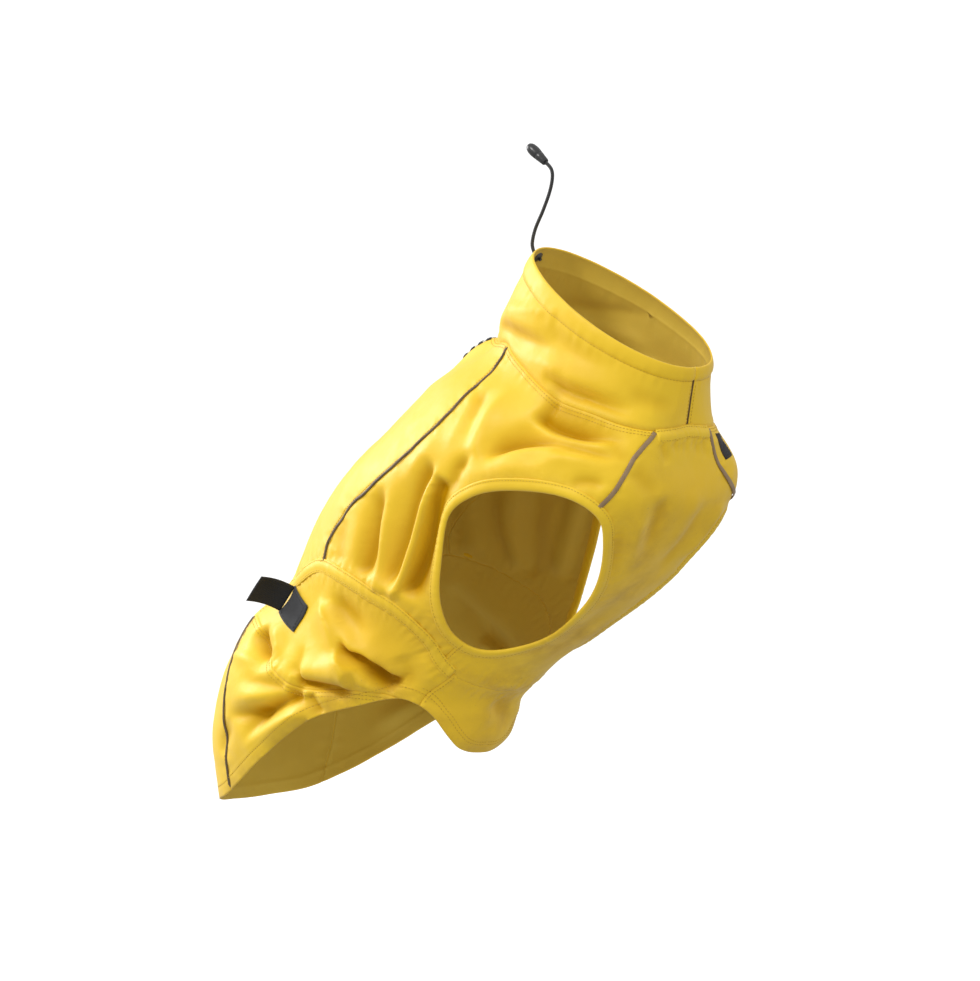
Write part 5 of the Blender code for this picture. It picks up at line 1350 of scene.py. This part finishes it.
def build_flap():
    """Free end of the waist tab, standing off from the back edge of its patch."""
    (t0, v0), (t1, v1) = TAB_PATCH[0], TAB_PATCH[3]
    across = np.linspace(FLAP_MARGIN, 1 - FLAP_MARGIN, 4)
    t, v = t0 + (t1 - t0) * across, v0 + (v1 - v0) * across
    root, up = plain_body(t, v), unit(normals(plain_body, t, v).mean(0))
    side = unit(root[-1] - root[0])
    face = np.cross(side, up)
    start = CLOTH / 2 + LAY_GAP + PATCH + SEAM_GAP - FLAP_ROOT
    rows, cols = 22, np.linspace(0, 1, 15)
    root = root[0] + (root[-1] - root[0]) * cols[:, None]
    grid = [root + up * (start + (FLAP_LENGTH + FLAP_ROOT) * s) + side * FLAP_SWAY * s ** 2
            + face * (FLAP_BEND * math.sin(math.pi * s)
                      + FLAP_CUP * s * np.sin(math.pi * cols)[:, None])
            for s in np.linspace(0, 1, rows)]
    points = np.concatenate(grid)
    return shell("waist_tab_hook_flap", points, np.tile(unit(face), (len(points), 1)),
                 halved(quads(rows, len(cols))), np.full(len(points), FLAP_WALL), 0.0,
                 (HOOK_MAT, HOOK_MAT), {"grime": np.zeros(len(points))})


PIECES["tab_hook_flap"] = build_flap()


def turned(name, rows, material, at, axis):
    """A turned piece of rows of (radius, height) along an axis from a place."""
    verts = [(r * math.cos(a), r * math.sin(a), z)
             for a in (2 * math.pi * k / TURNED_SIDES for k in range(TURNED_SIDES))
             for r, z in rows]
    obj = add_mesh(name, verts, quads(TURNED_SIDES, len(rows), True), (material,))
    mesh = obj.data
    made = bmesh.new()
    made.from_mesh(mesh)
    bmesh.ops.remove_doubles(made, verts=made.verts, dist=1e-6)
    bmesh.ops.recalc_face_normals(made, faces=made.faces)
    made.to_mesh(mesh)
    made.free()
    mesh.shade_smooth()
    mesh.set_sharp_from_angle(angle=math.radians(SHARP))
    obj.location = Vector(at) * MM
    obj.rotation_mode = "QUATERNION"
    obj.rotation_quaternion = Vector(axis).to_track_quat("Z", "Y")
    bpy.context.view_layer.update()
    mesh.transform(obj.matrix_world)
    obj.matrix_world.identity()
    return obj


# Outline of the bell end: height and radius as shares of its length and half width.
BELL_SHAPE = ((0.985, 0.30), (0.95, 0.56), (0.89, 0.77), (0.82, 0.90), (0.72, 0.98), (0.62, 1.0),
              (0.50, 0.96), (0.42, 0.91), (0.40, 0.84), (0.375, 0.84), (0.355, 0.88),
              (0.25, 0.80), (0.12, 0.73), (0.03, 0.68), (0.0, 0.62))


def build_cord():
    """The drawcord's free end, its eyelet and its bell-shaped end."""
    t, h = np.array([EYELET_T]), np.array([EYELET_H])
    hole, out = plain_collar(t, h)[0], normals(plain_collar, t, h)[0]
    start = [hole - out * CORD_INSIDE, hole + out, hole + out * CORD_OUTSIDE]
    f, z = (np.array(c) for c in zip(*[(-p[1], p[2]) for p in start], *CORD))
    s, fine = np.arange(len(f)), np.linspace(0, len(f) - 1, 6 * len(f) - 5)
    line = np.stack([np.zeros(len(fine)), -spline(s, f, fine), spline(s, z, fine)], 1)
    axis = np.array([0.0, -BELL_AXIS[0], BELL_AXIS[1]])
    mouth = line[-1] + axis * BELL_WAIST
    line = np.concatenate([line, [mouth, mouth + axis * (BELL_BORE - CORD_GAP)]])
    curve = bpy.data.curves.new("drawcord_elastic", "CURVE")
    curve.dimensions, curve.use_fill_caps = "3D", True
    curve.bevel_depth, curve.bevel_resolution = CORD_WIDTH / 2 * MM, 3
    run = curve.splines.new("POLY")
    run.points.add(len(line) - 1)
    for point, at in zip(run.points, line * MM):
        point.co = (*at, 1)
    run.use_smooth = True
    curve.materials.append(CORD_MAT)
    cord = bpy.data.objects.new("drawcord_elastic", curve)
    bpy.context.scene.collection.objects.link(cord)
    wide, long, bore = BELL_WIDTH / 2, BELL_LENGTH, CORD_WIDTH / 2 + 0.15
    rows = [(0.0, long)] + [(wide * r, long * z) for z, r in BELL_SHAPE]
    rows += [(bore + 0.4, 0.0), (bore, 0.4), (bore, BELL_BORE), (0.0, BELL_BORE)]
    bell = turned("drawcord_bell_end", rows, BELL_MAT, mouth, axis)
    hole_in, rim = EYELET_HOLE / 2 + 0.1, EYELET_HOLE / 2 + EYELET_RIM
    rows = [(hole_in, -1.6), (hole_in - 0.1, -0.4), (hole_in + 0.1, 0.9), (hole_in + 0.8, 1.5),
            (rim - 1.2, 1.35), (rim - 0.2, 0.9), (rim, 0.45), (rim - 0.4, -0.3), (hole_in, -1.6)]
    eyelet = turned("drawcord_eyelet", rows, EYELET_MAT, collar_skin(t, h)[0] + out * 0.6, out)
    return cord, bell, eyelet, hole, float(run_along(line)[-1])


CORD_PIECE, PIECES["cord_bell"], PIECES["cord_eyelet"], CORD_EXIT, CORD_LONG = build_cord()

# ---- stitches ----

COVER = BVHTree.FromPolygons(np.concatenate(COVER_POINTS).tolist(), COVER_FACES)


def seat(points, ups):
    """The points moved along ups onto the cloth's outer side, or lost beside it."""
    hits = [COVER.ray_cast(Vector(p + n * SEAT_REACH), Vector(-n), 2 * SEAT_REACH)[0]
            for p, n in zip(points, ups)]
    return np.array([np.full(3, np.nan) if hit is None else hit for hit in hits])


def stitch_run(line, surface=skin):
    """Ends and middle of each stitch along a line of (t, a), and its normal."""
    fine = resample(line, 1.0, SCALE if surface is skin else COLLAR_SCALE).T
    p, n = surface(*fine), skin_normals(surface, *fine)
    run = run_along(p)
    at = np.arange(PITCH / 2, run[-1] - PITCH / 2, PITCH)
    head, middle, tail, ups = (
        np.stack([np.interp(at + d, run, q[:, i]) for i in range(3)], 1)
        for q, d in ((p, -STITCH / 2), (p, 0), (p, STITCH / 2), (n, 0)))
    return [seat(s, ups) for s in (head, middle, tail)], ups


def stitches(name, runs, material):
    """Threads of the stitches, each a small rounded bead sunk at its ends."""
    verts, faces, first, sides = [], [], 0, 5
    for (heads, middles, tails), ups in runs:
        for a, m, b, n in zip(heads, middles, tails, ups):
            size = np.linalg.norm(b - a)
            if not (0.5 < size < 2 * STITCH and np.isfinite(m).all()):
                continue
            side = np.cross((b - a) / size, n)
            verts.append(a - n * THREAD_SUNK)
            for r in (a + (m - a) * 0.35 + n * THREAD_SUNK,
                      m + (b - m) * 0.65 + n * THREAD_SUNK):
                for k in range(sides):
                    g = 2 * math.pi * k / sides
                    verts.append(r + (side * math.cos(g) + n * math.sin(g)) * THREAD)
            verts.append(b - n * THREAD_SUNK)
            for k in range(sides):
                j = (k + 1) % sides
                faces += [(first, first + 1 + k, first + 1 + j),
                          (first + 1 + k, first + 6 + k, first + 6 + j, first + 1 + j),
                          (first + 6 + k, first + 11, first + 6 + j)]
            first += 12
    return add_mesh(name, verts, faces, (material,))


RUNS = {key: [] for key in ("hem", "waist", "arm", "seam", "collar", "trim")}
for lines, hem, arm, waist in zip(BOTH, HEMS, ARM_LINES, WAIST_LINES):
    flap_hem = np.concatenate([lines["hem_2"][len(lines["hem_2"]) // 2:], lines["hem_3"][1:]])
    neck = joined((lines, "neck_0 neck_1"))
    RUNS["hem"] += [stitch_run(toward(hem, HEM_ROW, -1)),
                    stitch_run(toward(flap_hem, HEM_TURN + 1.6, -1))]
    RUNS["waist"] += [stitch_run(offset_line(waist, far)) for far in WAIST_ROWS]
    RUNS["arm"].append(stitch_run(closed(offset_ring(arm, ARM_ROW))))
    RUNS["seam"] += [stitch_run(line) for line in (
        *(toward(lines["hip"], far, 1) for far in HIP_ROWS),
        toward(lines["rump_top"], SEAM_ROW, 1), offset_line(lines["underarm"], SEAM_ROW),
        offset_line(trimmed(lines["belly"], 2.0), SEAM_ROW))]
    RUNS["collar"] += [stitch_run(toward(neck, far, 1)) for far in COLLAR_ROWS]
    RUNS["trim"] += [stitch_run(offset_line(trimmed(lines[key], 2.0), TRIM_ROW))
                     for key in ("back", "rump")]
RUNS["waist"] += [stitch_run(offset_line(top_line, far)) for far in CHEST_ROWS]
for t, h in ((np.linspace(-179, 179, 400), np.full(400, TUNNEL)),
             (np.full(60, -177.6), np.linspace(0.03, 0.8, 60)),
             (np.full(60, 177.6), np.linspace(0.03, 0.8, 60))):
    RUNS["collar"].append(stitch_run(np.stack([t, h], 1), collar_skin))


def inner_box(rows, margin):
    """Outline drawn in by margin mm from four corners."""
    c = np.asarray(rows, float) * SCALE
    gap = c - c.mean(0)
    c = c.mean(0) + gap * (1 - margin / np.linalg.norm(gap, axis=1, keepdims=True) * 1.4)
    return closed(c / SCALE)


THREADS = [stitches("stitches_" + key, runs, THREAD_MAT) for key, runs in RUNS.items()]
THREADS += [stitches("stitches_" + key, [stitch_run(inner_box(rows, margin))], mat)
            for key, rows, margin, mat in (("label", LABEL, 1.6, SLIT_MAT),
                                           ("patch", TAB_PATCH, 2.2, HOOK_MAT))]

# ---- the pieces, hung on the root in place of the model's parts ----

# Flat size of what shows of each cloth piece, in metres, how it is held, and
# its cut area where that isn't the whole of the flat size.
SHEETS = {
    "back_panel": (0.257, 0.325, "draped", 0.0648),
    "side_panel_right": (0.220, 0.301, "draped", 0.0393),
    "side_panel_left": (0.230, 0.301, "draped", 0.0385),
    "chest_panel": (0.190, 0.325, "draped", 0.0370),
    "rump_panel": (0.191, 0.212, "draped", 0.0309),
    "hip_panel_right": (0.258, 0.125, "draped", 0.0217),
    "hip_panel_left": (0.258, 0.125, "draped", 0.0194),
    "thigh_panel_right": (0.208, 0.151, "draped", 0.0140),
    "thigh_panel_left": (0.208, 0.151, "draped", 0.0127),
    "belly_flap": (0.149, 0.070, "draped", 0.0084), "collar": (0.574, 0.102, "draped", 0.0400),
    "armhole_band": (0.0125, 0.554, "gathered"), "waist_casing": (0.0133, 0.277, "gathered"),
    "chest_top_casing": (0.0130, 0.066, "gathered"), "tab_hook_flap": (0.0245, 0.0330, "hung"),
    "tab_loop_patch": (0.0263, 0.0377, "laid"), "label_plain": (0.0127, 0.0250, "laid"),
}
# The narrow trims go with the panel that they are sewn on.
TRIMS = {"back_panel": ("back_piping_right", "back_piping_left", "slot_binding"),
         "chest_panel": ("chest_tape_right", "chest_tape_left"),
         "rump_panel": ("rump_piping_right", "rump_piping_left")}
for part, piece in PIECES.items():
    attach(piece, "root")
    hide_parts(part)
    sheet = SHEETS.get(part) or SHEETS.get(part.rsplit("_", 1)[0])      # one for both sides
    if sheet:
        width, length, held, cut = (*sheet, None)[:4]
        [PIECES[k] for k in TRIMS.get(part, ())]
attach(CORD_PIECE, "root")
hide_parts("drawcord")
for piece in (BARS, SLIT):
    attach(piece, "root")
for thread in THREADS:
    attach(thread, "root")

# ---- stage, light and camera ----

AZIMUTH, ELEVATION = -50.0, 4.0
FAR, SENSOR = 30.0, 36.0            # a long lens, so that the far side isn't smaller
FRAME_WIDE = 0.833                  # width of the view at the coat
az, el = math.radians(AZIMUTH), math.radians(ELEVATION)
right = Vector((math.cos(az), math.sin(az), 0))
back = Vector((math.sin(az) * math.cos(el), -math.cos(az) * math.cos(el), math.sin(el)))
up = back.cross(right)
aim = right * -0.0094 + up * -0.126

bpy.ops.mesh.primitive_plane_add(size=60, location=(0, 0, -0.52))
floor = bpy.context.object
floor.name = "studio_floor"
floor_mat, tree, shader, place = new_material(
    "studio_floor", Roughness=0.9, Emission_Strength=0.30, Emission_Color=(1.0, 1.0, 1.0))
tree.links.new(blend(tree, noise_of(tree, place, 2.0), (0.94, 0.94, 0.935), (0.91, 0.91, 0.905)),
               shader.inputs["Base Color"])
floor.data.materials.append(floor_mat)
floor.visible_diffuse = floor.visible_glossy = False      # no light thrown up from it


def area_light(name, place, size, power, colour):
    data = bpy.data.lights.new(name, "AREA")
    data.shape, data.size, data.energy, data.color = "DISK", size, power, colour
    lamp = bpy.data.objects.new(name, data)
    bpy.context.scene.collection.objects.link(lamp)
    lamp.location = place
    lamp.rotation_mode = "QUATERNION"
    lamp.rotation_quaternion = (Vector(place) - Vector((0, 0, -0.15))).to_track_quat("Z", "Y")
    return lamp


upward = Vector((0, 0, 1))
area_light("key", right * -1.5 + upward * 1.5 + back * 0.9, 0.5, 20.0, (1.0, 0.99, 0.97))
area_light("rim", right * -1.4 + upward * 0.6 - back * 0.9, 0.9, 20.0, (1.0, 1.0, 1.0))

# An overcast sky, brightest up on the left, and darker on the right and below.
world = bpy.data.worlds.new("studio")
bpy.context.scene.world = world
world.use_nodes = True
sky = world.node_tree
toward_sky = node(sky, "ShaderNodeVectorMath", _operation="DOT_PRODUCT")
toward_sky.inputs[1].default_value = (upward * 0.80 - right * 0.05 + back * 0.30).normalized()
sky.links.new(sky.nodes.new("ShaderNodeTexCoord").outputs["Generated"], toward_sky.inputs[0])
sky.links.new(ramp(sky, toward_sky.outputs["Value"], -0.8, 1.0, 0.46, 1.02),
              sky.nodes["Background"].inputs["Strength"])
sky.nodes["Background"].inputs["Color"].default_value = (1.0, 1.0, 1.0, 1.0)

camera = bpy.data.objects.new("camera", bpy.data.cameras.new("camera"))
bpy.context.scene.collection.objects.link(camera)
camera.data.sensor_width = SENSOR
camera.data.lens = SENSOR * FAR / FRAME_WIDE
camera.location = aim + back * FAR
camera.rotation_mode = "QUATERNION"
camera.rotation_quaternion = back.to_track_quat("Z", "Y")
camera.data.clip_start, camera.data.clip_end = 0.5, 100.0
bpy.context.scene.camera = camera
bpy.context.scene.view_settings.view_transform = "Standard"
